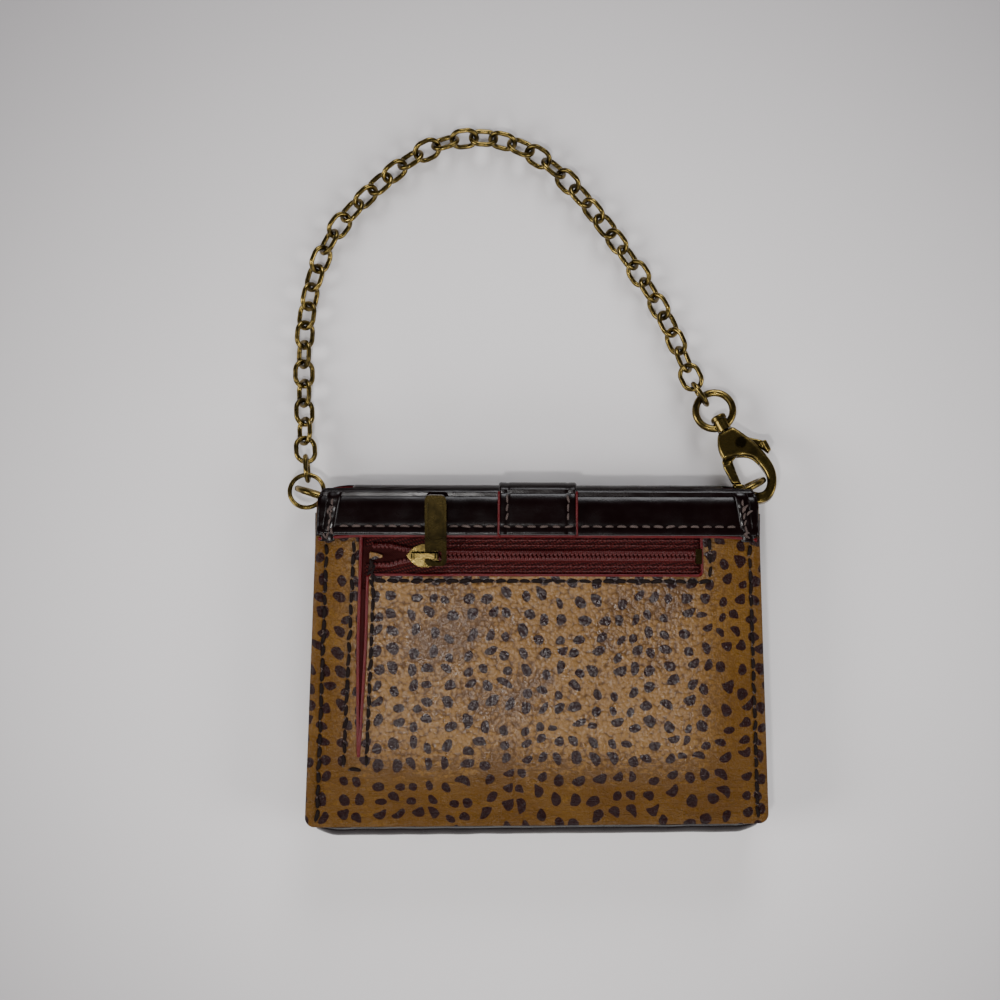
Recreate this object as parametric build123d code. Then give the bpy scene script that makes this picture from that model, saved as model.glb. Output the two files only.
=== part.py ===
from build123d import *

import math
import os

# A flap wallet with a clip-on chain strap, lying on its front: X runs across it, Y runs up to its
# top fold and Z up through its back. The origin is the middle of the underside. Millimetres.

# ---- wallet body ----
WIDTH = 127.0
HEIGHT = 96.0
CORNER_R = 3.0
TOP_Y = HEIGHT / 2
BOTTOM_Y = -HEIGHT / 2
HALF_W = WIDTH / 2

# ---- thicknesses of the layers, front to back ----
STRAP_THICK = 1.2
FLAP_THICK = 1.4
FLAP_LINING_THICK = 0.6
FLAP_GAP = 0.3
SLOT_THICK = 0.7
SLOT_COUNT = 3
PANEL_THICK = 1.4
BILL_GAP = 2.4
DIVIDER_THICK = 0.8
MAIN_GAP = 4.5
POUCH_THICK = 0.5
POUCH_GAP = 1.1
TAPE_THICK = 0.6
BACK_THICK = 1.6
STRIP_THICK = 1.2
STRAP_BACK_THICK = 0.8

# ---- heights of the layers, worked out from the thicknesses ----
Z_FLAP = STRAP_THICK
Z_FLAP_LINING = Z_FLAP + FLAP_THICK
Z_SLOTS = Z_FLAP_LINING + FLAP_LINING_THICK + FLAP_GAP
Z_FRONT = Z_SLOTS + SLOT_COUNT * SLOT_THICK
Z_BILL = Z_FRONT + PANEL_THICK
Z_DIVIDER = Z_BILL + BILL_GAP
Z_MAIN = Z_DIVIDER + DIVIDER_THICK
Z_POUCH = Z_MAIN + MAIN_GAP
Z_TAPE = Z_POUCH + POUCH_THICK + POUCH_GAP
Z_BACK = Z_TAPE + TAPE_THICK
Z_STRIP = Z_BACK + BACK_THICK
Z_STRAP = Z_STRIP + STRIP_THICK
Z_TOP = Z_STRAP + STRAP_BACK_THICK

# ---- outlines of the inner pieces ----
PANEL_TOP_Y = 43.6
PANEL_RIM_R = 0.9
FRONT_X = (-62.6, 62.6)
FRONT_Y = (-47.2, 36.0)
FRONT_CORNER_R = 2.5
LOWER_X = (-62.0, 62.0)
LOWER_Y = (-47.0, -27.6)
LOWER_RIM_R = 1.8
SLOT_X = (-52.0, 52.0)
SLOT_LOW_Y = -12.0
SLOT_HIGH_Y = 26.0
SLOT_STEP_Y = 8.0
SLOT_CORNER_R = 1.5
DIVIDER_X = (-60.9, 60.9)
DIVIDER_Y = (-44.9, 33.0)
DIVIDER_CORNER_R = 2.0
GUSSET_HALF_W = 62.4
GUSSET_THICK = 1.4
GUSSET_Y = (-46.6, 40.0)
POUCH_X = (-52.0, 52.0)
POUCH_Y = (-36.0, 38.5)

# ---- flap ----
FLAP_HALF_W = 61.5
FLAP_CORNER_R = 6.0
LINING_X = (-59.0, 59.0)
LINING_TOP_Y = 44.0
LINING_INSET = 2.0
LINING_CORNER_R = 4.0
STRAP_TOP_Y = 46.4
STRAP_CORNER_R = 1.0
SNAP_HEIGHT = 2.2
SNAP_GAP = 0.3
SNAP_RIM = 0.5
FLAP_EDGE_Y = -14.0
FLAP_HINGE_Y = TOP_Y - 0.8
FLAP_HINGE_Z = Z_FLAP + FLAP_THICK / 2
STRIP_EDGE_Y = 33.6
FOLD_R = 3.6
SPINE_HALF_W = 53.0
STRAP_HALF_W = 11.2
STRAP_END_Y = -26.0
SNAP_Y = -20.0
SNAP_R = 5.5

# ---- zipped pocket in the back ----
WINDOW_X = (-48.2, 46.8)
WINDOW_Y = (22.7, 34.6)
SLIT_X = (-50.4, -48.2)
SLIT_END_Y = -28.3
SLIT_NARROWS_Y = 5.0
BACKING_X = (-55.4, -46.6)
BACKING_Y = (-34.3, 18.6)
ZIP_Y = 28.1
TAPE_X = (-49.2, 50.8)
TAPE_HALF_GAP = 0.8
TAPE_LOW_Y = 19.0
TAPE_HIGH_Y = 38.0
COIL_WIDTH = 1.8
COIL_GAP = 0.2
COIL_HEIGHT = 1.2
COIL_END_GAP = 0.4
COIL_PARTS_X = -33.4
COIL_UPPER_END = [(-35.2, 29.9), (-40.0, 31.0), (-47.4, 31.2)]
COIL_LOWER_END = [(-35.2, 26.3), (-40.0, 25.6), (-46.4, 24.4)]
STOP_X = (44.2, 46.0)
STOP_HALF_W = 2.1
STOP_HEIGHT = 0.5
SLIDER_X = -32.0
SLIDER_LENGTH = 9.3
SLIDER_WIDTH = 5.8
SLIDER_GAP = 0.15
SLIDER_TOP_THICK = 0.8
SLIDER_BASE_THICK = 0.6
SLIDER_POST_X = -35.1
SLIDER_POST_R = 0.6
SLIDER_WIDEST = 1.4
SLIDER_TAIL_INSET = 0.4
SLIDER_TAIL_RATIO = 0.72
HANDLE_HALF_W = 0.75
HANDLE_HEIGHT = 2.9
HANDLE_BAR = 0.8
TAB_X = -28.6
TAB_SHIFT = 0.2
TAB_LIFT_DEG = 12.0
TAB_THICK = 1.0
TAB_WIDTH = 6.0
TAB_LENGTH = 20.2
TAB_TAIL = 2.8
TAB_HOLE = 3.2
TAB_FIELD = (4.4, 11.4)
TAB_FIELD_Y = 10.4
TAB_FIELD_DEPTH = 0.25

# ---- stitching ----
STITCH_WIDTH = 0.7
STITCH_HEIGHT = 0.25
STITCH_FILL = 0.68
SIDE_ROW_INSET = 3.2
WINDOW_ROW_Y = 20.9
WINDOW_ROW_X = 48.8
SLIT_ROWS_X = (-52.9, -46.6)
SLIT_ROWS_Y = -30.6
STRIP_ROW_Y = 36.4
STRIP_ROW_X = 58.0
END_COLUMN_X = 59.8
STRAP_COLUMN_X = 8.7

# ---- D-rings, each on an upright bar in a leather tab at a top corner ----
RING_Z = 10.1
DRING_WIRE_R = 0.925
DRING_DEPTH = 10.6
DRING_HALF_H = 5.8
DRING_LEFT_BAR = (-57.97, 43.6)
DRING_RIGHT_BAR = (54.74, 44.82)
DRING_LEFT_DEG = 162.0
DRING_RIGHT_DEG = 27.0
DRING_FOOT_R = 1.2
DRING_BOW_R = 5.7
LOOP_HALF_H = 4.4
LOOP_WRAP_R = 1.6
LOOP_TAIL = 9.0
LOOP_RISER = 5.2
LOOP_CLEARANCE = 0.06

# ---- chain strap ----
LINK_LENGTH = 8.6
LINK_WIDTH = 6.9
LINK_WIRE_R = 0.7
LINK_PITCH = 5.6
LINK_COUNT = 41
LINKS_PER_NODE = 3
LINK_ROLL_DEG = 45.0
LINK_DRIFT_DEG = 10.0
LINK_DRIFT_RATE = 0.9
LINK_END_SHARE = 0.55
PITCH_SEARCH_STEPS = 40
CHAIN_Z = 3.0
JUMP_R = 4.85
JUMP_WIRE_R = 0.65
JUMP_TILT_DEG = -16.0
JUMP_CENTRE = (-65.6, 46.1)
CHAIN_ROUTE = [
    (-65.8, 52.6, 7.9),
    (-66.8, 64.0, 4.8),
    (-67.2, 75.5, CHAIN_Z),
    (-67.2, 88.0, CHAIN_Z),
    (-65.2, 104.0, CHAIN_Z),
    (-59.0, 120.0, CHAIN_Z),
    (-45.8, 134.6, CHAIN_Z),
    (-30.8, 145.2, CHAIN_Z),
    (-15.0, 148.2, CHAIN_Z),
    (0.4, 142.7, CHAIN_Z),
    (12.6, 131.5, CHAIN_Z),
    (25.2, 115.2, CHAIN_Z),
    (35.5, 99.0, CHAIN_Z),
    (41.8, 85.6, CHAIN_Z + 0.3),
    (46.6, 74.9, 4.4),
    (52.6, 68.4, 5.4),
]

# ---- swivel clasp, in its own frame: origin at the eye's centre, hook towards -Y ----
EYE_R = 5.3
EYE_WIRE_R = 1.05
EYE_TO_LINK = 6.3
CLASP_HALF_THICK = 2.2
SLOT_HALF = 1.0
GATE_HALF = 0.85
PIVOT = (2.2, -12.0)
RIVET_R = 0.9
RIVET_HEAD_R = 1.4
RIVET_HEAD = 0.4
PIN_R = 1.08
PIN_BORE_R = 1.13
PIN_HEAD_R = 2.3
BOSS_R = 2.1
CLASP_RIM_R = 0.8
SPRING_R = 1.32
SPRING_WIRE_R = 0.3
CLASP_OUTSIDE = [
    (2.4, -6.8),
    (5.2, -12.4),
    (6.9, -18.4),
    (6.8, -24.6),
    (1.0, -30.4),
    (-4.6, -27.2),
    (-5.5, -21.4),
]
CLASP_INSIDE = [
    (-2.5, -22.6),
    (-1.7, -25.6),
    (1.0, -27.3),
    (3.7, -25.0),
    (3.9, -21.0),
    (2.6, -17.2),
    (-1.0, -15.0),
    (-4.4, -14.6),
]
CLASP_CHEEK = [(-4.4, -14.6), (-4.4, -11.0), (-2.4, -6.8)]
GATE_OUTLINE = [
    (1.2, -10.2),
    (4.4, -11.0),
    (8.2, -14.2),
    (8.9, -17.4),
    (7.6, -18.4),
    (6.2, -15.2),
    (2.0, -14.0),
    (-2.4, -15.6),
    (-3.4, -23.4),
    (-5.5, -23.4),
    (-5.2, -14.6),
    (-4.2, -13.2),
]
GATE_REACH = 12.0
RING_IN_HOOK = (2.7, -24.2)


def slab(x, y, z):
    """A box between the low and high values given for each axis."""
    size = (x[1] - x[0], y[1] - y[0], z[1] - z[0])
    middle = ((x[0] + x[1]) / 2, (y[0] + y[1]) / 2, (z[0] + z[1]) / 2)
    return Pos(*middle) * Box(*size)


def rounded_plate(x, y, z, radius):
    """A plate with rounded corners between the low and high values given for each axis."""
    outline = RectangleRounded(x[1] - x[0], y[1] - y[0], radius)
    middle = ((x[0] + x[1]) / 2, (y[0] + y[1]) / 2, z[0])
    return extrude(Pos(*middle) * outline, z[1] - z[0])


def ribbon(points, width, low, height):
    """A flat strip of one width along a line of points."""
    left = []
    right = []
    for i, point in enumerate(points):
        before = Vector(*points[max(i - 1, 0)])
        after = Vector(*points[min(i + 1, len(points) - 1)])
        along = (after - before).normalized()
        side = Vector(-along.Y, along.X) * (width / 2)
        left.append(Vector(*point) + side)
        right.append(Vector(*point) - side)
    outline = make_face(Polyline(*left, *reversed(right), close=True))
    return extrude(Pos(0, 0, low) * outline, height)


def stitches(start, end, count, surface):
    """A row of short raised stitches lying on a surface."""
    first = Vector(*start)
    step = (Vector(*end) - first) / count
    turn = math.degrees(math.atan2(step.Y, step.X))
    row = []
    for i in range(count):
        middle = first + step * (i + 0.5)
        place = Pos(middle.X, middle.Y, surface + STITCH_HEIGHT / 2) * Rot(0, 0, turn)
        row.append(place * Box(step.length * STITCH_FILL, STITCH_WIDTH, STITCH_HEIGHT))
    return row


def save(name, solids):
    """Write one node, which is one solid or a group of separate ones."""
    shape = solids if not isinstance(solids, list) else Compound(children=solids)
    shape.label = name
    export_step(shape, f"parts/{name}.step")


# ---------------------------------------------------------------- wallet body


def back_panel():
    panel = rounded_plate((-HALF_W, HALF_W), (BOTTOM_Y, PANEL_TOP_Y), (Z_BACK, Z_STRIP), CORNER_R)
    rim = panel.edges().group_by(Axis.Z)[-1]
    panel = fillet(rim, PANEL_RIM_R)
    window = slab(WINDOW_X, WINDOW_Y, (Z_BACK - 1, Z_STRIP + 1))
    slit_middle = (SLIT_X[0] + SLIT_X[1]) / 2
    outline = Polyline(
        (SLIT_X[0], WINDOW_Y[1]),
        (SLIT_X[1], WINDOW_Y[1]),
        (SLIT_X[1], SLIT_NARROWS_Y),
        (slit_middle, SLIT_END_Y),
        (SLIT_X[0], SLIT_NARROWS_Y),
        close=True,
    )
    slit = extrude(Pos(0, 0, Z_BACK - 1) * make_face(outline), BACK_THICK + 2)
    return panel - window - slit


def slit_backing():
    return slab(BACKING_X, BACKING_Y, (Z_TAPE, Z_BACK))


def zip_tapes():
    upper = slab(TAPE_X, (ZIP_Y + TAPE_HALF_GAP, TAPE_HIGH_Y), (Z_TAPE, Z_BACK))
    lower = slab(TAPE_X, (TAPE_LOW_Y, ZIP_Y - TAPE_HALF_GAP), (Z_TAPE, Z_BACK))
    return upper, lower


def zip_coils():
    offset = (COIL_WIDTH + COIL_GAP) / 2
    right = WINDOW_X[1] - COIL_END_GAP
    upper = [(right, ZIP_Y + offset), (COIL_PARTS_X, ZIP_Y + offset), *COIL_UPPER_END]
    lower = [(right, ZIP_Y - offset), (COIL_PARTS_X, ZIP_Y - offset), *COIL_LOWER_END]
    return [ribbon(line, COIL_WIDTH, Z_BACK, COIL_HEIGHT) for line in (upper, lower)]


def zip_end_stop():
    high = Z_BACK + COIL_HEIGHT
    across = (ZIP_Y - STOP_HALF_W, ZIP_Y + STOP_HALF_W)
    return slab(STOP_X, across, (high, high + STOP_HEIGHT))


def slider_leaf():
    """The outline of the slider's wings: pointed at the nose, cut straight at the tail."""
    nose = SLIDER_X - SLIDER_LENGTH / 2
    tail = SLIDER_X + SLIDER_LENGTH / 2 - SLIDER_TAIL_INSET
    half = SLIDER_WIDTH / 2
    widest = SLIDER_X - SLIDER_WIDEST
    upper = (tail, ZIP_Y + half * SLIDER_TAIL_RATIO)
    lower = (tail, ZIP_Y - half * SLIDER_TAIL_RATIO)
    return make_face(
        Spline((nose, ZIP_Y), (widest, ZIP_Y + half), upper)
        + Line(upper, lower)
        + Spline(lower, (widest, ZIP_Y - half), (nose, ZIP_Y))
    )


def slider_handle(low):
    """The loop on top of the slider that holds the pull tab."""
    left = SLIDER_X - SLIDER_LENGTH / 2 + 1.4
    right = TAB_X + 0.95
    across = (ZIP_Y - HANDLE_HALF_W, ZIP_Y + HANDLE_HALF_W)
    handle = slab((left, right), across, (low - 0.2, low + HANDLE_HEIGHT))
    handle = fillet(handle.edges().filter_by(Axis.Y).group_by(Axis.Z)[-1], 1.0)
    opening = (low + 0.1, low + HANDLE_HEIGHT - HANDLE_BAR)
    return handle - slab((left + 1.2, TAB_X - 0.55), (ZIP_Y - 2, ZIP_Y + 2), opening)


def zip_slider():
    """Two leaf-shaped wings joined by a post at the nose, with a handle loop above them."""
    leaf = slider_leaf()
    top_low = Z_BACK + COIL_HEIGHT + SLIDER_GAP
    base_high = Z_TAPE - SLIDER_GAP
    top = extrude(Pos(0, 0, top_low) * leaf, SLIDER_TOP_THICK)
    base = extrude(Pos(0, 0, base_high - SLIDER_BASE_THICK) * leaf, SLIDER_BASE_THICK)
    post_low = base_high - SLIDER_BASE_THICK / 2
    post = Pos(SLIDER_POST_X, ZIP_Y, post_low) * Cylinder(
        SLIDER_POST_R,
        top_low - post_low + SLIDER_BASE_THICK / 2,
        align=(Align.CENTER, Align.CENTER, Align.MIN),
    )
    body = top + base + post
    for side in (-1, 1):
        body += slab(
            (SLIDER_X - 0.6, SLIDER_X + 3.6),
            sorted((ZIP_Y + side * 2.15, ZIP_Y + side * 2.6)),
            (Z_BACK + SLIDER_GAP, top_low + 0.3),
        )
    return body + slider_handle(top_low + SLIDER_TOP_THICK)


def zip_pull_tab():
    """A flat bar with a raised rim round a sunk field, and a loop round the handle's tail leg."""
    bar = extrude(RectangleRounded(TAB_WIDTH, TAB_LENGTH, 1.6), TAB_THICK)
    bar = Pos(0, TAB_LENGTH / 2 - TAB_TAIL, -TAB_THICK / 2) * bar
    hole = Pos(0, 0, -TAB_THICK) * extrude(RectangleRounded(TAB_HOLE, TAB_HOLE, 0.8), 2 * TAB_THICK)
    field = extrude(RectangleRounded(*TAB_FIELD, 1.0), TAB_THICK)
    field = Pos(0, TAB_FIELD_Y, TAB_THICK / 2 - TAB_FIELD_DEPTH) * field
    high = Z_BACK + COIL_HEIGHT + SLIDER_GAP + SLIDER_TOP_THICK + 1.25
    return Pos(TAB_X + TAB_SHIFT, ZIP_Y, high) * Rot(TAB_LIFT_DEG, 0, 0) * (bar - hole - field)


def zip_pouch():
    """The pocket bag behind the zip: a flat open-topped tray hung from the tapes."""
    outer = slab(POUCH_X, POUCH_Y, (Z_POUCH, Z_TAPE))
    inner_x = (POUCH_X[0] + POUCH_THICK, POUCH_X[1] - POUCH_THICK)
    inner_y = (POUCH_Y[0] + POUCH_THICK, POUCH_Y[1] - POUCH_THICK)
    inner = slab(inner_x, inner_y, (Z_POUCH + POUCH_THICK, Z_TAPE + 1))
    return outer - inner


def front_panel():
    return rounded_plate(FRONT_X, FRONT_Y, (Z_FRONT, Z_BILL), FRONT_CORNER_R)


def front_lower_panel():
    """The padded lower front that shows below the flap and carries the wallet's weight."""
    pad = rounded_plate(LOWER_X, LOWER_Y, (0, Z_FRONT), FRONT_CORNER_R)
    return fillet(pad.edges().group_by(Axis.Z)[0], LOWER_RIM_R)


def card_slot(index):
    low = Z_SLOTS + (SLOT_COUNT - 1 - index) * SLOT_THICK
    high_y = SLOT_HIGH_Y - SLOT_STEP_Y * index
    return rounded_plate(SLOT_X, (SLOT_LOW_Y, high_y), (low, low + SLOT_THICK), SLOT_CORNER_R)


def divider():
    return rounded_plate(DIVIDER_X, DIVIDER_Y, (Z_DIVIDER, Z_MAIN), DIVIDER_CORNER_R)


def gussets():
    """The side and bottom walls between the front panel and the back panel."""
    inner = GUSSET_HALF_W - GUSSET_THICK
    low_y = GUSSET_Y[0]
    left = slab((-GUSSET_HALF_W, -inner), GUSSET_Y, (Z_BILL, Z_BACK))
    right = slab((inner, GUSSET_HALF_W), GUSSET_Y, (Z_BILL, Z_BACK))
    bottom = slab((-inner, inner), (low_y, low_y + GUSSET_THICK), (Z_BILL, Z_BACK))
    return left, right, bottom


# ---------------------------------------------------------------- flap and closure


def folded_band(half_width, edge_y, outer_y, low_z, top_z, thick, radius):
    """A band that lies on the back from edge_y, turns over the top fold and runs down to low_z."""
    inner = radius - thick
    outline = (
        Line((edge_y, top_z), (outer_y - radius, top_z))
        + RadiusArc((outer_y - radius, top_z), (outer_y, top_z - radius), radius)
        + Line((outer_y, top_z - radius), (outer_y, low_z))
        + Line((outer_y, low_z), (outer_y - thick, low_z))
        + Line((outer_y - thick, low_z), (outer_y - thick, top_z - radius))
        + RadiusArc((outer_y - thick, top_z - radius), (outer_y - radius, top_z - thick), -inner)
        + Line((outer_y - radius, top_z - thick), (edge_y, top_z - thick))
        + Line((edge_y, top_z - thick), (edge_y, top_z))
    )
    return extrude(Plane.YZ * make_face(outline), half_width, both=True)


def flap_back_strip():
    band = folded_band(
        FLAP_HALF_W, STRIP_EDGE_Y, TOP_Y, FLAP_HINGE_Z + 1.0, Z_STRAP, STRIP_THICK, FOLD_R
    )
    corner_z = (0, Z_STRIP - 0.1)
    for side in (-1, 1):
        x = sorted((side * SPINE_HALF_W, side * (FLAP_HALF_W + 1)))
        band -= slab(x, (PANEL_TOP_Y + 0.1, TOP_Y + 1), corner_z)
    return band


def closure_strap_back():
    outer = TOP_Y + STRAP_BACK_THICK
    return folded_band(
        STRAP_HALF_W,
        STRIP_EDGE_Y,
        outer,
        FLAP_HINGE_Z + 1.0,
        Z_TOP,
        STRAP_BACK_THICK,
        FOLD_R + STRAP_BACK_THICK,
    )


def flap_cover():
    across = (-FLAP_HALF_W, FLAP_HALF_W)
    plate = rounded_plate(across, (FLAP_EDGE_Y, 30.0), (Z_FLAP, Z_FLAP_LINING), FLAP_CORNER_R)
    plate += slab(across, (20.0, FLAP_HINGE_Y), (Z_FLAP, Z_FLAP_LINING))
    barrel = Pos(0, FLAP_HINGE_Y, FLAP_HINGE_Z) * Rot(0, 90, 0) * Cylinder(
        FLAP_THICK / 2, 2 * FLAP_HALF_W
    )
    return plate + barrel


def flap_lining():
    z = (Z_FLAP_LINING, Z_FLAP_LINING + FLAP_LINING_THICK)
    return rounded_plate(LINING_X, (FLAP_EDGE_Y + LINING_INSET, LINING_TOP_Y), z, LINING_CORNER_R)


def closure_strap_front():
    across = (-STRAP_HALF_W, STRAP_HALF_W)
    return rounded_plate(across, (STRAP_END_Y, STRAP_TOP_Y), (0, STRAP_THICK), STRAP_CORNER_R)


def snap_stud():
    high = Z_FRONT - SNAP_HEIGHT - SNAP_GAP
    return Pos(0, SNAP_Y, STRAP_THICK) * Cylinder(
        SNAP_R, high - STRAP_THICK, align=(Align.CENTER, Align.CENTER, Align.MIN)
    )


def snap_socket():
    return Pos(0, SNAP_Y, Z_FRONT - SNAP_HEIGHT) * Cylinder(
        SNAP_R + SNAP_RIM, SNAP_HEIGHT, align=(Align.CENTER, Align.CENTER, Align.MIN)
    )


# ---------------------------------------------------------------- stitching


def panel_stitching():
    side_x = HALF_W - SIDE_ROW_INSET
    left, right = SLIT_ROWS_X
    low = SLIT_ROWS_Y
    rows = []
    for x in (-side_x, side_x):
        rows += stitches((x, BOTTOM_Y + 1.5), (x, STRIP_EDGE_Y - 4), 22, Z_STRIP)
    rows += stitches((-45.0, WINDOW_ROW_Y), (WINDOW_ROW_X - 0.4, WINDOW_ROW_Y), 27, Z_STRIP)
    rows += stitches((WINDOW_ROW_X, 21.4), (WINDOW_ROW_X, 32.6), 3, Z_STRIP)
    rows += stitches((left, low), (left, 31.0), 18, Z_STRIP)
    rows += stitches((right, low), (right, 19.8), 15, Z_STRIP)
    rows += stitches((left + 0.5, low - 0.8), (right - 0.3, low - 0.8), 2, Z_STRIP)
    return rows


def strip_stitching():
    y = STRIP_ROW_Y
    edge = STRAP_HALF_W + 0.3
    rows = stitches((-STRIP_ROW_X, y), (-edge, y), 13, Z_STRAP)
    rows += stitches((edge, y), (STRIP_ROW_X, y), 13, Z_STRAP)
    rows += stitches((1 - edge, y), (edge - 1, y), 5, Z_TOP)
    for side in (-1, 1):
        x = side * END_COLUMN_X
        rows += stitches((x, STRIP_EDGE_Y + 1.0), (x, 43.4), 4, Z_STRAP)
        x = side * STRAP_COLUMN_X
        rows += stitches((x, y + 1.6), (x, PANEL_TOP_Y), 2, Z_TOP)
    return rows


# ---------------------------------------------------------------- D-rings and their tabs


def upright_frame(bar, degrees):
    """A place whose X runs outward from a D-ring's bar and whose Y runs up it."""
    return Pos(bar[0], bar[1], RING_Z) * Rot(0, 0, degrees) * Rot(90, 0, 0)


def dring(bar, degrees):
    h = DRING_HALF_H
    corners = [(0, -h), (DRING_DEPTH, -h), (DRING_DEPTH, h), (0, h)]
    radii = [DRING_FOOT_R, DRING_BOW_R, DRING_BOW_R, DRING_FOOT_R]
    path = FilletPolyline(*corners, radius=radii, close=True)
    section = (path ^ 0) * Circle(DRING_WIRE_R)
    return upright_frame(bar, degrees) * sweep(section, path=path)


def dring_tab(bar, degrees):
    """A leather loop round the D-ring's bar, sewn to the underside of the back panel."""
    half = LOOP_HALF_H
    thick = (-LOOP_WRAP_R, LOOP_WRAP_R)
    wrap = Rot(90, 0, 0) * Cylinder(LOOP_WRAP_R, 2 * half)
    tail = slab((-LOOP_TAIL, 0.0), (-half, half), thick)
    riser = slab((-LOOP_TAIL, -LOOP_RISER), (half - 0.5, Z_BACK - RING_Z), thick)
    bore = Rot(90, 0, 0) * Cylinder(DRING_WIRE_R + LOOP_CLEARANCE, 4 * half)
    return upright_frame(bar, degrees) * (wrap + tail + riser - bore)


# ---------------------------------------------------------------- chain


def jump_ring():
    place = Pos(JUMP_CENTRE[0], JUMP_CENTRE[1], RING_Z - 0.4) * Rot(JUMP_TILT_DEG, 0, 0)
    return place * Torus(JUMP_R, JUMP_WIRE_R)


def next_reach(route, last, reached):
    """How far along the route the point one pitch from last is."""
    low = reached
    high = min(reached + 2 * LINK_PITCH, route.length)
    for step in range(PITCH_SEARCH_STEPS):
        middle = (low + high) / 2
        point = route.position_at(middle, position_mode=PositionMode.LENGTH)
        if (point - last).length < LINK_PITCH:
            low = middle
        else:
            high = middle
    return high


def chain_centres():
    """The middle of each link, one pitch after the last on the chain's route, and one place more."""
    route = Spline(*CHAIN_ROUTE)
    reached = 0.0
    centres = [route.position_at(reached, position_mode=PositionMode.LENGTH)]
    while len(centres) <= LINK_COUNT:
        reached = next_reach(route, centres[-1], reached)
        centres.append(route.position_at(reached, position_mode=PositionMode.LENGTH))
    return centres


def link_shape():
    """One oval link in the XY plane, long along X."""
    straight = (LINK_LENGTH - LINK_WIDTH) / 2
    bend = LINK_WIDTH / 2 - LINK_WIRE_R
    half = Torus(bend, LINK_WIRE_R)
    room = 4 * LINK_LENGTH
    right = half & Pos(room / 2, 0, 0) * Box(room, room, room)
    left = half & Pos(-room / 2, 0, 0) * Box(room, room, room)
    rod = Rot(0, 90, 0) * Cylinder(LINK_WIRE_R, 2 * straight)
    return (
        Pos(straight, 0, 0) * right
        + Pos(-straight, 0, 0) * left
        + Pos(0, bend, 0) * rod
        + Pos(0, -bend, 0) * rod
    )


def along(centres, i):
    """The direction of the chain at a link."""
    before = centres[max(i - 1, 0)]
    after = centres[min(i + 1, len(centres) - 1)]
    return (after - before).normalized()


def link_roll(i):
    """How far a link is turned about the chain: on edge at the two ends, leaning over between."""
    from_end = LINK_END_SHARE ** min(i, LINK_COUNT - 1 - i)
    lean = LINK_ROLL_DEG if i % 2 else -LINK_ROLL_DEG
    drift = LINK_DRIFT_DEG * math.sin(LINK_DRIFT_RATE * i)
    return lean + drift * (1 - from_end) - LINK_ROLL_DEG * from_end


def chain_links(centres):
    """Every link, each turned the other way about the chain from the one before it."""
    shape = link_shape()
    links = []
    for i in range(LINK_COUNT):
        direction = along(centres, i)
        sideways = Vector(0, 0, 1).cross(direction).normalized()
        up = direction.cross(sideways).rotate(Axis((0, 0, 0), direction), link_roll(i))
        place = Plane(origin=centres[i], x_dir=direction, z_dir=up)
        links.append(place.location * shape)
    return links


# ---------------------------------------------------------------- swivel clasp


def clasp_frame(centres):
    """The clasp's own frame, at the eye's centre, turned so that the D-ring's arc is in the hook."""
    outward = (centres[-1] - centres[-2]).normalized()
    eye = centres[-2] + outward * EYE_TO_LINK
    reach = math.radians(DRING_RIGHT_DEG)
    arc = Vector(
        DRING_RIGHT_BAR[0] + DRING_DEPTH * math.cos(reach),
        DRING_RIGHT_BAR[1] + DRING_DEPTH * math.sin(reach),
        RING_Z,
    )
    to_eye = (eye - arc).normalized()
    sideways = to_eye.cross(Vector(0, 0, 1)).normalized()
    up = sideways.cross(to_eye)
    turn = math.degrees(math.atan2(RING_IN_HOOK[0], -RING_IN_HOOK[1]))
    return Plane(origin=eye, x_dir=sideways.rotate(Axis((0, 0, 0), up), -turn), z_dir=up)


def swivel_eye():
    bore = Pos(0, -4.9, 0) * Rot(90, 0, 0) * Cylinder(PIN_BORE_R, 5)
    boss = Pos(0, -4.95, 0) * Rot(90, 0, 0) * Cylinder(BOSS_R, 3.1)
    return Torus(EYE_R, EYE_WIRE_R) + boss - bore


def swivel_pin():
    head = Pos(0, -2.5, 0) * Rot(90, 0, 0) * Cylinder(PIN_HEAD_R, 1.4)
    shank = Pos(0, -5.8, 0) * Rot(90, 0, 0) * Cylinder(PIN_R, 5.2)
    return fillet(head.edges().group_by(Axis.Y)[-1], 0.6) + shank


def clasp_body():
    """A hook open on its left, with a slot through its head for the gate."""
    outline = make_face(
        Line(CLASP_CHEEK[-1], CLASP_OUTSIDE[0])
        + Spline(*CLASP_OUTSIDE)
        + Line(CLASP_OUTSIDE[-1], CLASP_INSIDE[0])
        + Spline(*CLASP_INSIDE)
        + Spline(*CLASP_CHEEK)
    )
    body = extrude(outline, CLASP_HALF_THICK, both=True)
    rims = body.edges().group_by(Axis.Z)
    body = fillet(rims[-1] + rims[0], CLASP_RIM_R)
    slot = slab((-8, 8), (-19.6, -9.2), (-SLOT_HALF, SLOT_HALF))
    socket = Pos(0, -7.4, 0) * Rot(90, 0, 0) * Cylinder(PIN_R, 2.0)
    hole = Pos(PIVOT[0], PIVOT[1], 0) * Cylinder(RIVET_R, 6)
    sweep_of_gate = Pos(PIVOT[0], PIVOT[1], 0) * Cylinder(GATE_REACH + 0.15, 6)
    mouth = sweep_of_gate & slab((-8.0, -1.0), (-24.0, -16.0), (-4, 4))
    return body - slot - socket - hole - mouth


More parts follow.
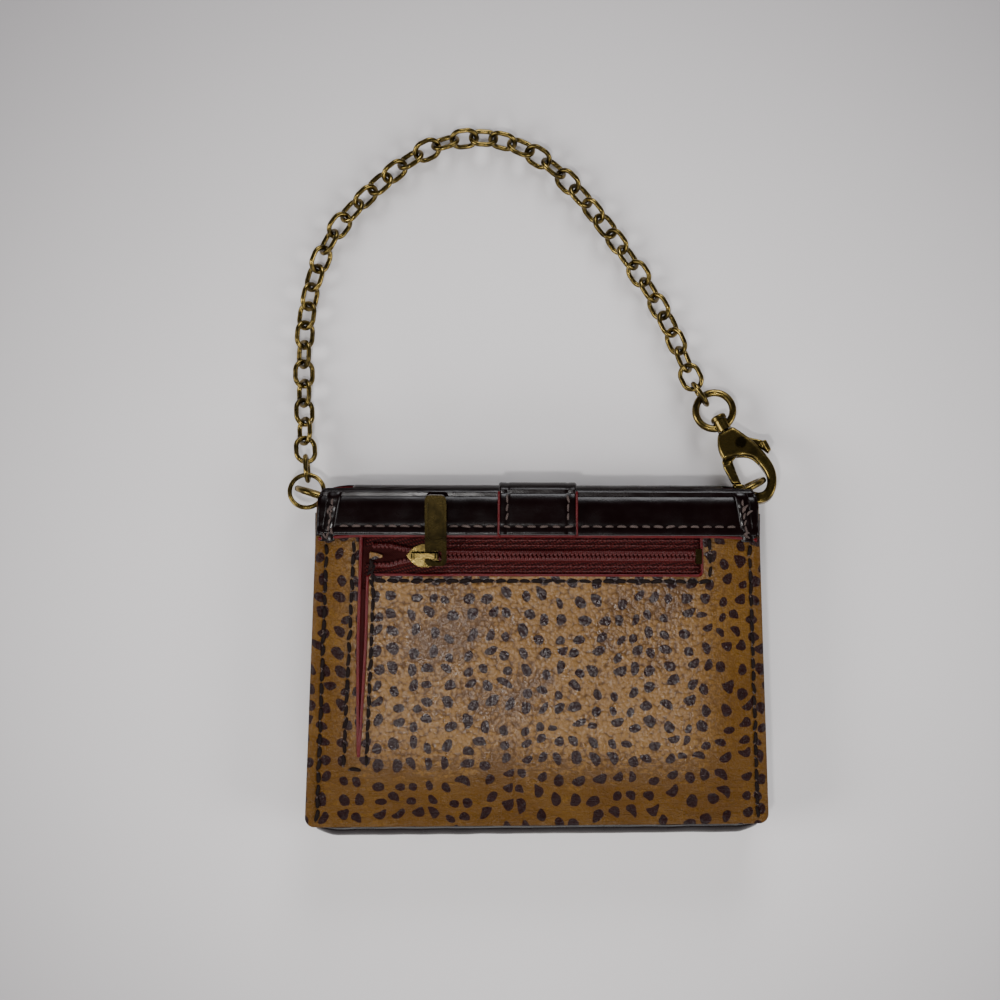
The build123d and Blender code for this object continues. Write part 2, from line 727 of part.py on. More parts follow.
def clasp_gate():
    """The lever that closes the hook: an arm on the left and a thumb catch on the right."""
    arm = make_face(Polyline(*GATE_OUTLINE, close=True))
    gate = extrude(arm, GATE_HALF, both=True)
    gate += slab((-5.5, -3.2), (-23.4, -15.7), (-1.4, 1.4))
    gate += slab((7.5, 8.9), (-17.8, -14.4), (-1.6, 1.6))
    gate &= Pos(PIVOT[0], PIVOT[1], 0) * Cylinder(GATE_REACH, 6)
    hole = Pos(PIVOT[0], PIVOT[1], 0) * Cylinder(RIVET_R + 0.05, 4)
    recess = Pos(PIVOT[0], PIVOT[1], 1.0) * Cylinder(1.7, 2.0)
    return gate - hole - recess


def clasp_rivet():
    shank = Pos(PIVOT[0], PIVOT[1], 0) * Cylinder(RIVET_R, 2 * CLASP_HALF_THICK)
    for side in (-1, 1):
        height = side * (CLASP_HALF_THICK + RIVET_HEAD / 2)
        shank += Pos(PIVOT[0], PIVOT[1], height) * Cylinder(RIVET_HEAD_R, RIVET_HEAD)
    return shank


def clasp_spring():
    return Pos(PIVOT[0], PIVOT[1], 0.45) * Torus(SPRING_R, SPRING_WIRE_R)


# ---------------------------------------------------------------- whole wallet


def main():
    os.makedirs("parts", exist_ok=True)
    save("back_panel", back_panel())
    save("slit_backing", slit_backing())
    upper_tape, lower_tape = zip_tapes()
    save("zip_tape_upper", upper_tape)
    save("zip_tape_lower", lower_tape)
    upper_coil, lower_coil = zip_coils()
    save("zip_coil_upper", upper_coil)
    save("zip_coil_lower", lower_coil)
    save("zip_end_stop", zip_end_stop())
    save("zip_slider", zip_slider())
    save("zip_pull_tab", zip_pull_tab())
    save("zip_pouch", zip_pouch())
    save("front_panel", front_panel())
    save("front_lower_panel", front_lower_panel())
    for index in range(SLOT_COUNT):
        save(f"card_slot_{index + 1}", card_slot(index))
    save("divider", divider())
    left, right, bottom = gussets()
    save("gusset_left", left)
    save("gusset_right", right)
    save("gusset_bottom", bottom)
    save("flap_back_strip", flap_back_strip())
    save("closure_strap_back", closure_strap_back())
    save("flap_cover", flap_cover())
    save("flap_lining", flap_lining())
    save("closure_strap_front", closure_strap_front())
    save("snap_stud", snap_stud())
    save("snap_socket", snap_socket())
    save("panel_stitching", panel_stitching())
    save("strip_stitching", strip_stitching())
    save("dring_left", dring(DRING_LEFT_BAR, DRING_LEFT_DEG))
    save("dring_right", dring(DRING_RIGHT_BAR, DRING_RIGHT_DEG))
    save("dring_tab_left", dring_tab(DRING_LEFT_BAR, DRING_LEFT_DEG))
    save("dring_tab_right", dring_tab(DRING_RIGHT_BAR, DRING_RIGHT_DEG))
    save("jump_ring", jump_ring())
    centres = chain_centres()
    links = chain_links(centres)
    for start in range(0, LINK_COUNT, LINKS_PER_NODE):
        number = start // LINKS_PER_NODE + 1
        save(f"chain_{number:02d}", links[start : start + LINKS_PER_NODE])
    place = clasp_frame(centres).location
    save("swivel_eye", place * swivel_eye())
    save("swivel_pin", place * swivel_pin())
    save("clasp_body", place * clasp_body())
    save("clasp_gate", place * clasp_gate())
    save("clasp_rivet", place * clasp_rivet())
    save("clasp_spring", place * clasp_spring())


main()
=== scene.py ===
import math
from collections import namedtuple

import bpy
import numpy as np
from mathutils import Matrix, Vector


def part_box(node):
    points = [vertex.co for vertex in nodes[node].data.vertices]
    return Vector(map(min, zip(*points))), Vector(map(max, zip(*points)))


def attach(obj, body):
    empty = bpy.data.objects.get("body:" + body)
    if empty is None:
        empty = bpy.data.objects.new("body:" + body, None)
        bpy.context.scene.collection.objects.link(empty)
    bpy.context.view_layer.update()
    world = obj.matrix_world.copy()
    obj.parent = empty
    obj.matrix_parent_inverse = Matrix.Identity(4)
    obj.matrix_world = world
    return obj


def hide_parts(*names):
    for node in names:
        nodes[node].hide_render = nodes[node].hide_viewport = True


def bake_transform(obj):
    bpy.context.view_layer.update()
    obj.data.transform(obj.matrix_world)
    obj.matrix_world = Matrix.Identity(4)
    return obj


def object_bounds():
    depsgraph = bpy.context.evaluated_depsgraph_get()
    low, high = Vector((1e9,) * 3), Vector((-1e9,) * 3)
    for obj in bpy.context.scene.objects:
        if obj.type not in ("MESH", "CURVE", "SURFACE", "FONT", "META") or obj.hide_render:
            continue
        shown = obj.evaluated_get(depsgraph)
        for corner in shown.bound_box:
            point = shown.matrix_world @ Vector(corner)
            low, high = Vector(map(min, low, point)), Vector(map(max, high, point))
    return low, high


# A leather flap wallet lying on its front, with its zipped back up and its clip-on chain strap above
# it. Shapes are worked out in millimetres in the frame's axes, and scaled to metres when made.

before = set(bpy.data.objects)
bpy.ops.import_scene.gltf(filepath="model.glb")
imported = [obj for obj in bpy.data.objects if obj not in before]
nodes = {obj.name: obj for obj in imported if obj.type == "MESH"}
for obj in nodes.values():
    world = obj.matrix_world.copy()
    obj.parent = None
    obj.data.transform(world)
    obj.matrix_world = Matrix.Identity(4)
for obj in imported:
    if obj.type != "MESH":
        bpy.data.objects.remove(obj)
cad_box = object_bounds()
MM = 0.001


def corners(node):
    """A node's lowest and highest corner, in millimetres."""
    low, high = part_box(node)
    return np.array(low) / MM, np.array(high) / MM


PANEL_LOW, PANEL_HIGH = corners("back_panel")
STRIP_LOW, STRIP_HIGH = corners("flap_back_strip")
STRAP_HIGH = corners("closure_strap_back")[1]
STRAP_FRONT_Y = corners("closure_strap_front")[0][1]
COVER_LOW = corners("flap_cover")[0]
UPPER_TAPE_LOW, UPPER_TAPE_HIGH = corners("zip_tape_upper")
LOWER_TAPE_HIGH = corners("zip_tape_lower")[1]
COIL_HIGH = corners("zip_coil_upper")[1]
SLIDER_LOW, SLIDER_HIGH = corners("zip_slider")

HALF_W = PANEL_HIGH[0]
BOTTOM_Y = PANEL_LOW[1]
PANEL_TOP_Y = PANEL_HIGH[1]
PANEL_Z = PANEL_HIGH[2]
PANEL_BACK_Z = PANEL_LOW[2]

ZIP_Y = (UPPER_TAPE_LOW[1] + LOWER_TAPE_HIGH[1]) / 2
TAPE_Z = UPPER_TAPE_HIGH[2]
COIL_Z = COIL_HIGH[2]
SLIDER_X = (SLIDER_LOW[0] + SLIDER_HIGH[0]) / 2

WINDOW_BELOW_ZIP, WINDOW_ABOVE_ZIP = 5.4, 6.5
WINDOW_ROUND = 1.3
WINDOW_LEFT, WINDOW_RIGHT = UPPER_TAPE_LOW[0] + 1.0, COIL_HIGH[0] + 0.4
WINDOW_LOW, WINDOW_HIGH = ZIP_Y - WINDOW_BELOW_ZIP, ZIP_Y + WINDOW_ABOVE_ZIP
SLIT_WIDTH = 2.2
SLIT_LEFT, SLIT_RIGHT = WINDOW_LEFT - SLIT_WIDTH, WINDOW_LEFT
SLIT_END_Y = -28.3
SLIT_NARROWS_Y = 5.0

STRIP_EDGE_Y = STRIP_LOW[1]
STRIP_Z = STRIP_HIGH[2]
TOP_Y = STRIP_HIGH[1]
STRAP_HALF, STRAP_TOP_Y, STRAP_Z = STRAP_HIGH

SIDE_SEAM_X = HALF_W - 3.2
UNDER_SEAM_Y = WINDOW_LOW - 1.8
UNDER_SEAM_LEFT, UNDER_SEAM_RIGHT = -46.2, WINDOW_RIGHT + 2.4
STRIP_SEAM_Y = STRIP_EDGE_Y + 2.7
STRAP_SEAM_X = 8.7
STITCH_PITCH = 3.46


# ------------------------------------------------------------------ mesh tools

SPREAD, SPREAD_FROM_Y = 0.00055, -3.0
SLOPE, SLOPE_FROM_X, SLOPE_FROM_Y, SLOPE_LENGTH = 0.012, -45.0, 10.0, 58.0
RIPPLE_WAVES, RIPPLE_PEAK = 7, 4.5
RIM_ROUNDS = 4
SIDES = {-1: "left", 1: "right"}


def settle(points):
    """The wallet's body spreads a little towards its lower edge, which slopes up to the right."""
    p = np.array(points, float)
    x, y = p[:, 0].copy(), p[:, 1].copy()
    p[:, 0] = x * (1 + SPREAD * (SPREAD_FROM_Y - y))
    p[:, 1] = y + SLOPE * (x - SLOPE_FROM_X) * np.clip((SLOPE_FROM_Y - y) / SLOPE_LENGTH, 0, 1)
    return p


def ripple(x, y, size, seed):
    """Smooth bumps about size mm across, from about -1 to 1."""
    random = np.random.default_rng(seed)
    total = 0.0
    for _ in range(RIPPLE_WAVES):
        heading = random.uniform(0, math.tau)
        phase = random.uniform(0, math.tau)
        pitch = random.uniform(0.7, 1.4)
        across = x * math.cos(heading) + y * math.sin(heading)
        total = total + np.sin(math.tau * pitch / size * across + phase)
    return total / RIPPLE_PEAK


def groove(distance, width):
    """1 on a line, and falling smoothly to 0 about two widths away from it."""
    return np.exp(-(distance / width) ** 2)


def roll(distance, width):
    """1 along a line, and down to 0 one width away from it, like the top of a tube."""
    return np.clip(1 - (distance / width) ** 2, 0, 1)


def arc(centre, radii, start, end, count=12):
    """Points on an ellipse, between two angles in degrees."""
    turns = [math.radians(a) for a in np.linspace(start, end, count)]
    return [(centre[0] + radii[0] * math.cos(a), centre[1] + radii[1] * math.sin(a)) for a in turns]


def make(name, points, faces, materials, kinds=None):
    """A smooth mesh object from points in mm. kinds is the material index of each face."""
    mesh = bpy.data.meshes.new(name)
    mesh.from_pydata((settle(points) * MM).tolist(), [], [tuple(int(i) for i in f) for f in faces])
    for material in materials:
        mesh.materials.append(material)
    if kinds is not None:
        mesh.polygons.foreach_set("material_index", np.array(kinds, np.int32))
    mesh.polygons.foreach_set("use_smooth", np.ones(len(mesh.polygons), bool))
    mesh.update()
    thing = bpy.data.objects.new(name, mesh)
    bpy.context.scene.collection.objects.link(thing)
    return thing


def finish_piece(thing, body, slot, *replaced):
    """Gives a piece its body, and hides the plain nodes whose place it takes. slot is not used."""
    if replaced:
        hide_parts(*replaced)
    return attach(thing, body)


def sheet_solid(edge, xs, ys, step, rim, top, low):
    """A closed sheet over the region where edge(x, y), a signed distance, is below 0. Its rims are
    half round, and top and low give the heights of its two sides."""
    x, y = np.meshgrid(
        np.linspace(xs[0], xs[1], int(round((xs[1] - xs[0]) / step)) + 1),
        np.linspace(ys[0], ys[1], int(round((ys[1] - ys[0]) / step)) + 1),
    )
    small = 0.01
    snap_reach = 0.52 * step

    def slope(x, y):
        gx = (edge(x + small, y) - edge(x - small, y)) / (2 * small)
        gy = (edge(x, y + small) - edge(x, y - small)) / (2 * small)
        size = np.maximum(np.hypot(gx, gy), 1e-6)
        return gx / size, gy / size

    # Grid points near the line move onto it, so that the border is smooth and not stepped.
    near = np.abs(edge(x, y) + rim) < snap_reach
    for _ in range(3):
        gx, gy = slope(x, y)
        miss = np.where(near, edge(x, y) + rim, 0.0)
        x, y = x - miss * gx, y - miss * gy
    inside = near | (edge(x, y) + rim < 0)

    index = np.arange(x.size).reshape(x.shape)
    cell = np.stack([index[:-1, :-1], index[:-1, 1:], index[1:, 1:], index[1:, :-1]], -1).reshape(-1, 4)
    count = inside.ravel()[cell].sum(1)
    quads = cell[count == 4]
    partial = cell[count == 3]
    keep = inside.ravel()[partial]
    tris = [row[k] for row, k in zip(partial, keep)]
    used = np.unique(np.concatenate([quads.ravel(), np.array(tris, int).ravel()]))
    renumber = np.full(x.size, -1)
    renumber[used] = np.arange(len(used))
    px, py = x.ravel()[used], y.ravel()[used]
    tops = [tuple(renumber[f]) for f in quads] + [tuple(renumber[f]) for f in tris]
    seen = {}
    for f in tops:
        for u, v in zip(f, f[1:] + f[:1]):
            seen[(u, v)] = True
    border = [(u, v) for u, v in seen if (v, u) not in seen]

    n = len(used)
    distance = edge(px, py)
    top_z, low_z = top(px, py, distance), low(px, py, distance)
    points = [np.column_stack([px, py, top_z]), np.column_stack([px, py, low_z])]
    faces = tops + [tuple(n + i for i in reversed(f)) for f in tops]
    ring = sorted({i for pair in border for i in pair})
    place = {i: k for k, i in enumerate(ring)}
    gx, gy = slope(px[ring], py[ring])
    mid, half = (top_z[ring] + low_z[ring]) / 2, (top_z[ring] - low_z[ring]) / 2
    for k in range(1, RIM_ROUNDS + 1):
        turn = math.pi / 2 - math.pi * k / (RIM_ROUNDS + 1)
        out = rim * math.cos(turn)
        rim_z = mid + half * math.sin(turn)
        points.append(np.column_stack([px[ring] + gx * out, py[ring] + gy * out, rim_z]))

    def at(level, i):
        if level == 0:
            return i
        if level == RIM_ROUNDS + 1:
            return n + i
        return 2 * n + (level - 1) * len(ring) + place[i]

    for u, v in border:
        for k in range(RIM_ROUNDS + 1):
            faces.append((at(k, u), at(k + 1, u), at(k + 1, v), at(k, v)))
    return np.concatenate(points), faces


def rounded_box(x, y, low, high, radius):
    """Signed distance to a rounded rectangle."""
    cx, cy = (low[0] + high[0]) / 2, (low[1] + high[1]) / 2
    qx = np.abs(x - cx) - (high[0] - low[0]) / 2 + radius
    qy = np.abs(y - cy) - (high[1] - low[1]) / 2 + radius
    return np.hypot(np.maximum(qx, 0), np.maximum(qy, 0)) + np.minimum(np.maximum(qx, qy), 0) - radius


def grid_solid(top, low):
    """A closed sheet from two grids of points, rows by columns by 3, its top and its underside. The
    kinds are 0 for its two sides and 1 for its rim."""
    rows, cols = top.shape[:2]
    index = np.arange(rows * cols).reshape(rows, cols)
    quads = np.stack([index[:-1, :-1], index[:-1, 1:], index[1:, 1:], index[1:, :-1]], -1).reshape(-1, 4)
    n = rows * cols
    rim = np.concatenate([index[0, :], index[1:, -1], index[-1, -2::-1], index[-2:0:-1, 0]])
    after = np.roll(rim, -1)
    walls = np.stack([after, rim, rim + n, after + n], -1)
    faces = np.concatenate([quads, quads[:, ::-1] + n, walls])
    kinds = [0] * (2 * len(quads)) + [1] * len(walls)
    return np.concatenate([top.reshape(-1, 3), low.reshape(-1, 3)]), faces, kinds


def with_flat_back(x, y, z, back_z):
    """A grid's top and an underside at one height below it."""
    top = np.stack([x, y, z], -1)
    under = top.copy()
    under[..., 2] = back_z
    return top, under


def tube(path, radius, sides=8, flat=1.0):
    """A round bead along a line of points, closed at its ends, as points and faces."""
    p = np.array(path, float)
    after, before = np.roll(p, -1, 0), np.roll(p, 1, 0)
    after[-1], before[0] = p[-1], p[0]
    along = after - before
    along /= np.maximum(np.linalg.norm(along, axis=1, keepdims=True), 1e-9)
    side = np.cross([0.0, 0.0, 1.0], along)
    weak = np.linalg.norm(side, axis=1) < 1e-3
    side[weak] = [1.0, 0.0, 0.0]
    side /= np.linalg.norm(side, axis=1, keepdims=True)
    up = np.cross(along, side)
    radius = np.broadcast_to(np.asarray(radius, float), (len(p),))
    turns = np.arange(sides) * math.tau / sides
    rings = p[:, None] + radius[:, None, None] * (
        np.cos(turns)[None, :, None] * side[:, None] + flat * np.sin(turns)[None, :, None] * up[:, None]
    )
    faces = []
    last = len(p) - 1
    for i in range(last):
        for k in range(sides):
            m = (k + 1) % sides
            faces.append((i * sides + k, i * sides + m, (i + 1) * sides + m, (i + 1) * sides + k))
    faces.append(tuple(range(sides))[::-1])
    faces.append(tuple(last * sides + k for k in range(sides)))
    return rings.reshape(-1, 3), faces


def join(parts):
    """One list of points and one of faces from several."""
    points, faces, start = [], [], 0
    for p, f in parts:
        points.append(p)
        faces += [tuple(int(i) + start for i in face) for face in f]
        start += len(p)
    return np.concatenate(points), faces


def dense(path, step):
    """More points along a line, about step mm apart."""
    p = np.array(path, float)
    out = [p[0]]
    for a, b in zip(p, p[1:]):
        n = max(1, int(math.ceil(np.linalg.norm(b - a) / step)))
        out += [a + (b - a) * k / n for k in range(1, n + 1)]
    return np.array(out)


# ------------------------------------------------------------------ materials


class Graph:
    """A material's nodes, with short calls for the ones used here."""

    def __init__(self, name):
        self.material = bpy.data.materials.new(name)
        self.material.use_nodes = True
        self.tree = self.material.node_tree
        self.shader = self.tree.nodes["Principled BSDF"]
        place = self.add("ShaderNodeTexCoord").outputs["Object"]
        self.mm = self.vector("SCALE", place, scale=1 / MM)

    def add(self, kind, inputs=None, **settings):
        node = self.tree.nodes.new(kind)
        for key, value in settings.items():
            setattr(node, key, value)
        for key, value in (inputs or {}).items():
            if isinstance(value, bpy.types.NodeSocket):
                self.tree.links.new(value, node.inputs[key])
            else:
                node.inputs[key].default_value = value
        return node

    def math(self, operation, a, b=0.0, c=0.0, clamp=False):
        node = self.add("ShaderNodeMath", {0: a, 1: b, 2: c}, operation=operation, use_clamp=clamp)
        return node.outputs[0]

    def sine(self, value, pitch):
        """From -1 to 1 and back, every pitch mm."""
        return self.math("SINE", self.math("MULTIPLY", value, math.tau / pitch))

    def unit(self, value):
        """Turns -1 to 1 into 0 to 1."""
        return self.math("MULTIPLY_ADD", value, 0.5, 0.5)

    def vector(self, operation, a, b=None, scale=None):
        inputs = {0: a}
        if b is not None:
            inputs[1] = b
        if scale is not None:
            inputs["Scale"] = scale
        node = self.add("ShaderNodeVectorMath", inputs, operation=operation)
        return node.outputs["Value" if operation in ("LENGTH", "DISTANCE") else "Vector"]

    def split(self, vector):
        node = self.add("ShaderNodeSeparateXYZ", {0: vector})
        return node.outputs[0], node.outputs[1], node.outputs[2]

    def combine(self, x, y, z=0.0):
        return self.add("ShaderNodeCombineXYZ", {0: x, 1: y, 2: z}).outputs[0]

    def stretch(self, factors):
        return self.vector("MULTIPLY", self.mm, factors)

    def noise(self, vector, size, detail=2.0, roughness=0.5, distortion=0.0):
        node = self.add("ShaderNodeTexNoise", {"Vector": vector, "Scale": 1 / size, "Detail": detail,
                                               "Roughness": roughness, "Distortion": distortion})
        return node.outputs["Fac"]

    def shake(self, scale, detail, amount):
        """Offsets in mm that change smoothly from place to place."""
        noise = self.add("ShaderNodeTexNoise", {"Vector": self.mm, "Scale": scale, "Detail": detail})
        around_zero = self.vector("SUBTRACT", noise.outputs["Color"], (0.5, 0.5, 0.5))
        return self.vector("SCALE", around_zero, scale=amount)

    def cells(self, vector, size, feature="F1", randomness=1.0, dimensions="3D", smoothness=None):
        inputs = {"Vector": vector, "Scale": 1 / size, "Randomness": randomness}
        if smoothness is not None:
            inputs["Smoothness"] = smoothness
        return self.add("ShaderNodeTexVoronoi", inputs, feature=feature, voronoi_dimensions=dimensions)

    def smooth(self, value, low, high):
        """0 at low and 1 at high, eased at both ends."""
        return self.add("ShaderNodeMapRange", {"Value": value, "From Min": low, "From Max": high},
                        interpolation_type="SMOOTHSTEP").outputs["Result"]

    def scaled(self, value, low, high, to_low, to_high):
        return self.add("ShaderNodeMapRange", {"Value": value, "From Min": low, "From Max": high,
                                               "To Min": to_low, "To Max": to_high}).outputs["Result"]

    def mix(self, factor, a, b):
        return self.add("ShaderNodeMix", {0: factor, 6: a, 7: b}, data_type="RGBA").outputs[2]

    def bump(self, height, depth):
        """A height of 1 stands depth mm proud."""
        inputs = {"Height": height, "Distance": depth * MM, "Strength": 1.0}
        return self.add("ShaderNodeBump", inputs).outputs["Normal"]

    def done(self, color=None, roughness=None, normal=None, **plain):
        for key, value in (("Base Color", color), ("Roughness", roughness), ("Normal", normal)):
            if isinstance(value, bpy.types.NodeSocket):
                self.tree.links.new(value, self.shader.inputs[key])
            elif value is not None:
                self.shader.inputs[key].default_value = value
        for key, value in plain.items():
            self.shader.inputs[key.replace("_", " ")].default_value = value
        return self.material


def rgb(red, green, blue):
    """A colour from 0 to 255 sRGB values."""
    def linear(v):
        v /= 255
        return v / 12.92 if v <= 0.04045 else ((v + 0.055) / 1.055) ** 2.4
    return (linear(red), linear(green), linear(blue), 1.0)


def printed_spots(g, wobble, beans):
    """1 inside the dark spots, one to a cell and clear of its edges. They bend more where beans is 1."""
    spacing, scatter = 5.1, 0.5
    moved = g.vector("ADD", g.vector("ADD", g.mm, wobble), g.shake(0.06, 0.0, 5.0))
    flat = g.vector("MULTIPLY", moved, (1.0, 1.0, 0.0))
    cell = g.cells(flat, spacing, randomness=scatter, dimensions="2D")
    room = g.cells(flat, spacing, "DISTANCE_TO_EDGE", scatter, "2D").outputs["Distance"]
    away = g.vector("SUBTRACT", flat, cell.outputs["Position"])
    luck = g.add("ShaderNodeSeparateColor", {0: cell.outputs["Color"]}).outputs
    angle = g.math("MULTIPLY", luck[0], math.pi)
    turned = g.add("ShaderNodeVectorRotate", {"Vector": away, "Angle": angle}, rotation_type="Z_AXIS")
    u, v, _ = g.split(turned.outputs[0])
    bend = g.math("MULTIPLY", luck[1], g.scaled(beans, 0.0, 1.0, 0.1, 0.34))
    curve = g.math("MULTIPLY", bend, g.math("MULTIPLY", u, u))
    v = g.math("ADD", v, g.math("SUBTRACT", curve, g.math("MULTIPLY", bend, 0.5)))
    long = g.math("MULTIPLY_ADD", luck[1], 0.55, 1.4)
    wide = g.math("MULTIPLY_ADD", luck[2], 0.4, 1.05)
    reach = g.vector("LENGTH", g.combine(g.math("DIVIDE", u, long), g.math("DIVIDE", v, wide)))
    crowd = g.math("MULTIPLY", g.smooth(room, 0.14, 0.0), 0.7)
    return g.smooth(g.math("ADD", reach, crowd), 1.12, 0.94)


def pebble_grain(g, wobble, middle, y):
    """The grain's height: pebbles, strongest in the middle, fine pores, and creases along the bottom."""
    place = g.vector("ADD", g.mm, g.vector("SCALE", wobble, scale=0.5))
    pebble = g.cells(place, 1.25, feature="SMOOTH_F1", randomness=0.9, smoothness=0.35).outputs["Distance"]
    pebble = g.math("SUBTRACT", 1.0, g.math("POWER", pebble, 1.6))
    fine = g.math("SUBTRACT", 1.0, g.cells(g.mm, 0.62, randomness=0.9).outputs["Distance"])
    crease = g.noise(g.stretch((0.3, 1.0, 1.0)), 1.5, 2.0, 0.6, 0.8)
    crease = g.math("MULTIPLY", g.smooth(crease, 0.40, 0.56), g.smooth(y, -22.0, -36.0))
    patchy = g.math("MULTIPLY", middle, g.smooth(g.noise(g.mm, 28.0, 1.0), 0.25, 0.6))
    height = g.math("MULTIPLY", pebble, g.scaled(patchy, 0.0, 1.0, 0.35, 1.0))
    height = g.math("MULTIPLY_ADD", fine, g.scaled(middle, 0.0, 1.0, 0.34, 0.2), height)
    return g.math("MULTIPLY_ADD", crease, -0.4, height)


def spotted_leather():
    """Tan pebbled leather printed with dark, bean-like spots, with a painted highlight in the middle and
    painted shade in its grain's valleys.
    """
    g = Graph("spotted_tan_leather")
    x, y, _ = g.split(g.mm)
    low_or_right = g.math("MAXIMUM", g.smooth(y, -22.0, -40.0), g.smooth(x, 34.0, 56.0), clamp=True)
    from_middle = g.math("ABSOLUTE", g.math("ADD", x, 2.0))
    middle = g.math("MULTIPLY", g.smooth(y, -40.0, -20.0), g.smooth(from_middle, 58.0, 40.0))
    wobble = g.shake(0.4, 1.0, 0.9)
    spot = printed_spots(g, wobble, low_or_right)
    height = pebble_grain(g, wobble, middle, y)

    tan = g.mix(g.smooth(g.noise(g.mm, 16.0, 3.0), 0.3, 0.7), rgb(96, 65, 19), rgb(110, 78, 29))
    # painted highlight: the tan is mixed lighter towards the middle, where the key light's sheen falls
    tan = g.mix(g.math("MULTIPLY", middle, 0.5), tan, rgb(130, 98, 60))
    # painted shade: the grain's valleys are mixed darker, most in the middle
    painted_valley_shade = g.math("MULTIPLY", g.smooth(height, 0.75, 0.3), g.scaled(middle, 0.0, 1.0, 0.45, 0.75))
    tan = g.mix(painted_valley_shade, tan, rgb(56, 30, 10))
    dark = g.mix(g.noise(g.mm, 2.0, 2.0), rgb(20, 5, 5), rgb(40, 18, 18))
    rough = g.scaled(g.noise(g.mm, 3.0, 3.0), 0.3, 0.7, 0.26, 0.36)
    g.tree.links.new(g.scaled(middle, 0.0, 1.0, 0.12, 0.5), g.shader.inputs["Specular IOR Level"])
    return g.done(g.mix(spot, tan, dark), rough, g.bump(height, 0.45))


def oxblood_leather():
    """Near-black red leather with a soft polish."""
    g = Graph("oxblood_leather")
    tone = g.mix(g.noise(g.mm, 14.0, 3.0), rgb(7, 1, 1), rgb(15, 3, 4))
    pores = g.cells(g.mm, 0.5, randomness=1.0).outputs["Distance"]
    drag = g.noise(g.stretch((0.25, 1.0, 1.0)), 3.2, 3.0, 0.55)
    height = g.math("MULTIPLY_ADD", drag, 1.2, g.math("MULTIPLY", pores, 0.25))
    rough = g.scaled(g.noise(g.mm, 5.0, 3.0), 0.3, 0.7, 0.2, 0.3)
    return g.done(tone, rough, g.bump(height, 0.03), Specular_IOR_Level=0.22)


def edge_paint():
    """Dark red paint on the leather's cut edges."""
    g = Graph("painted_edge")
    tone = g.mix(g.noise(g.mm, 3.0, 2.0), rgb(68, 2, 6), rgb(90, 6, 11))
    return g.done(tone, 0.35, g.bump(g.noise(g.mm, 0.9, 3.0), 0.08), Specular_IOR_Level=0.2)


def zip_tape_cloth():
    """Woven tape: ribs along it, crossed by a fine twill."""
    g = Graph("zip_tape_weave")
    x, y, _ = g.split(g.mm)
    pitch = 0.95
    twill = g.sine(g.math("ADD", x, g.math("MULTIPLY", y, 0.9)), pitch)
    ribs = g.sine(g.math("SUBTRACT", y, g.math("MULTIPLY", x, 0.25)), pitch * 1.1)
    weave = g.math("MULTIPLY", g.unit(twill), g.unit(ribs))
    fuzz = g.noise(g.mm, 0.35, 3.0, 0.7)
    height = g.math("MULTIPLY_ADD", fuzz, 0.5, weave)
    tone = g.mix(weave, rgb(32, 3, 4), rgb(98, 36, 34))
    tone = g.mix(g.smooth(fuzz, 0.58, 0.78), tone, rgb(112, 70, 66))
    return g.done(tone, 0.75, g.bump(height, 0.18), Specular_IOR_Level=0.12)


def coil_plastic():
    """Slightly shiny dark red plastic."""
    g = Graph("zip_coil_plastic")
    tone = g.mix(g.noise(g.mm, 4.0, 2.0), rgb(58, 14, 15), rgb(88, 30, 29))
    return g.done(tone, 0.32, g.bump(g.noise(g.mm, 0.4, 2.0), 0.03), Specular_IOR_Level=0.3)


def antique_brass(name="antique_brass", tint=1.0):
    """Dark plated brass, rubbed brighter where it stands proud and brown-black where it is sheltered."""
    g = Graph(name)
    patches = g.noise(g.mm, 3.5, 4.0, 0.6)
    specks = g.noise(g.mm, 0.5, 3.0, 0.7)
    shelter = g.add("ShaderNodeAmbientOcclusion", {"Distance": 1.6 * MM}, samples=6).outputs["AO"]
    wear = g.math("MULTIPLY", g.smooth(patches, 0.28, 0.7), g.smooth(shelter, 0.35, 0.95))
    tone = g.mix(wear, rgb(54 * tint, 45 * tint, 24 * tint), rgb(132 * tint, 112 * tint, 60 * tint))
    tone = g.mix(g.smooth(specks, 0.66, 0.78), tone, rgb(40, 32, 16))
    rough = g.scaled(patches, 0.3, 0.7, 0.36, 0.2)
    return g.done(tone, rough, g.bump(specks, 0.02), Metallic=1.0)


def steel(name, color):
    """Brushed metal."""
    g = Graph(name)
    scratches = g.noise(g.stretch((0.3, 3.0, 1.0)), 0.8, 3.0)
    tone = g.mix(scratches, rgb(*[c * 0.72 for c in color]), rgb(*color))
    return g.done(tone, g.scaled(scratches, 0.3, 0.7, 0.22, 0.38), g.bump(scratches, 0.01), Metallic=1.0)


def thread(name, dark, light):
    """Twisted thread."""
    g = Graph(name)
    x, y, _ = g.split(g.mm)
    twist = g.unit(g.sine(g.math("ADD", x, y), 0.5))
    tone = g.mix(g.math("MULTIPLY", twist, g.noise(g.mm, 1.2, 2.0)), dark, light)
    return g.done(tone, 0.6, g.bump(twist, 0.06), Specular_IOR_Level=0.12)


def lining_cloth():
    """Plain dark red weave."""
    g = Graph("lining_cloth")
    x, y, _ = g.split(g.mm)
    pitch = 0.6
    height = g.unit(g.math("MULTIPLY", g.sine(x, pitch), g.sine(y, pitch)))
    tone = g.mix(height, rgb(48, 14, 14), rgb(76, 28, 26))
    tone = g.mix(g.smooth(g.noise(g.mm, 9.0, 3.0), 0.35, 0.7), tone, rgb(60, 20, 19))
    return g.done(tone, 0.85, g.bump(height, 0.08), Specular_IOR_Level=0.15)


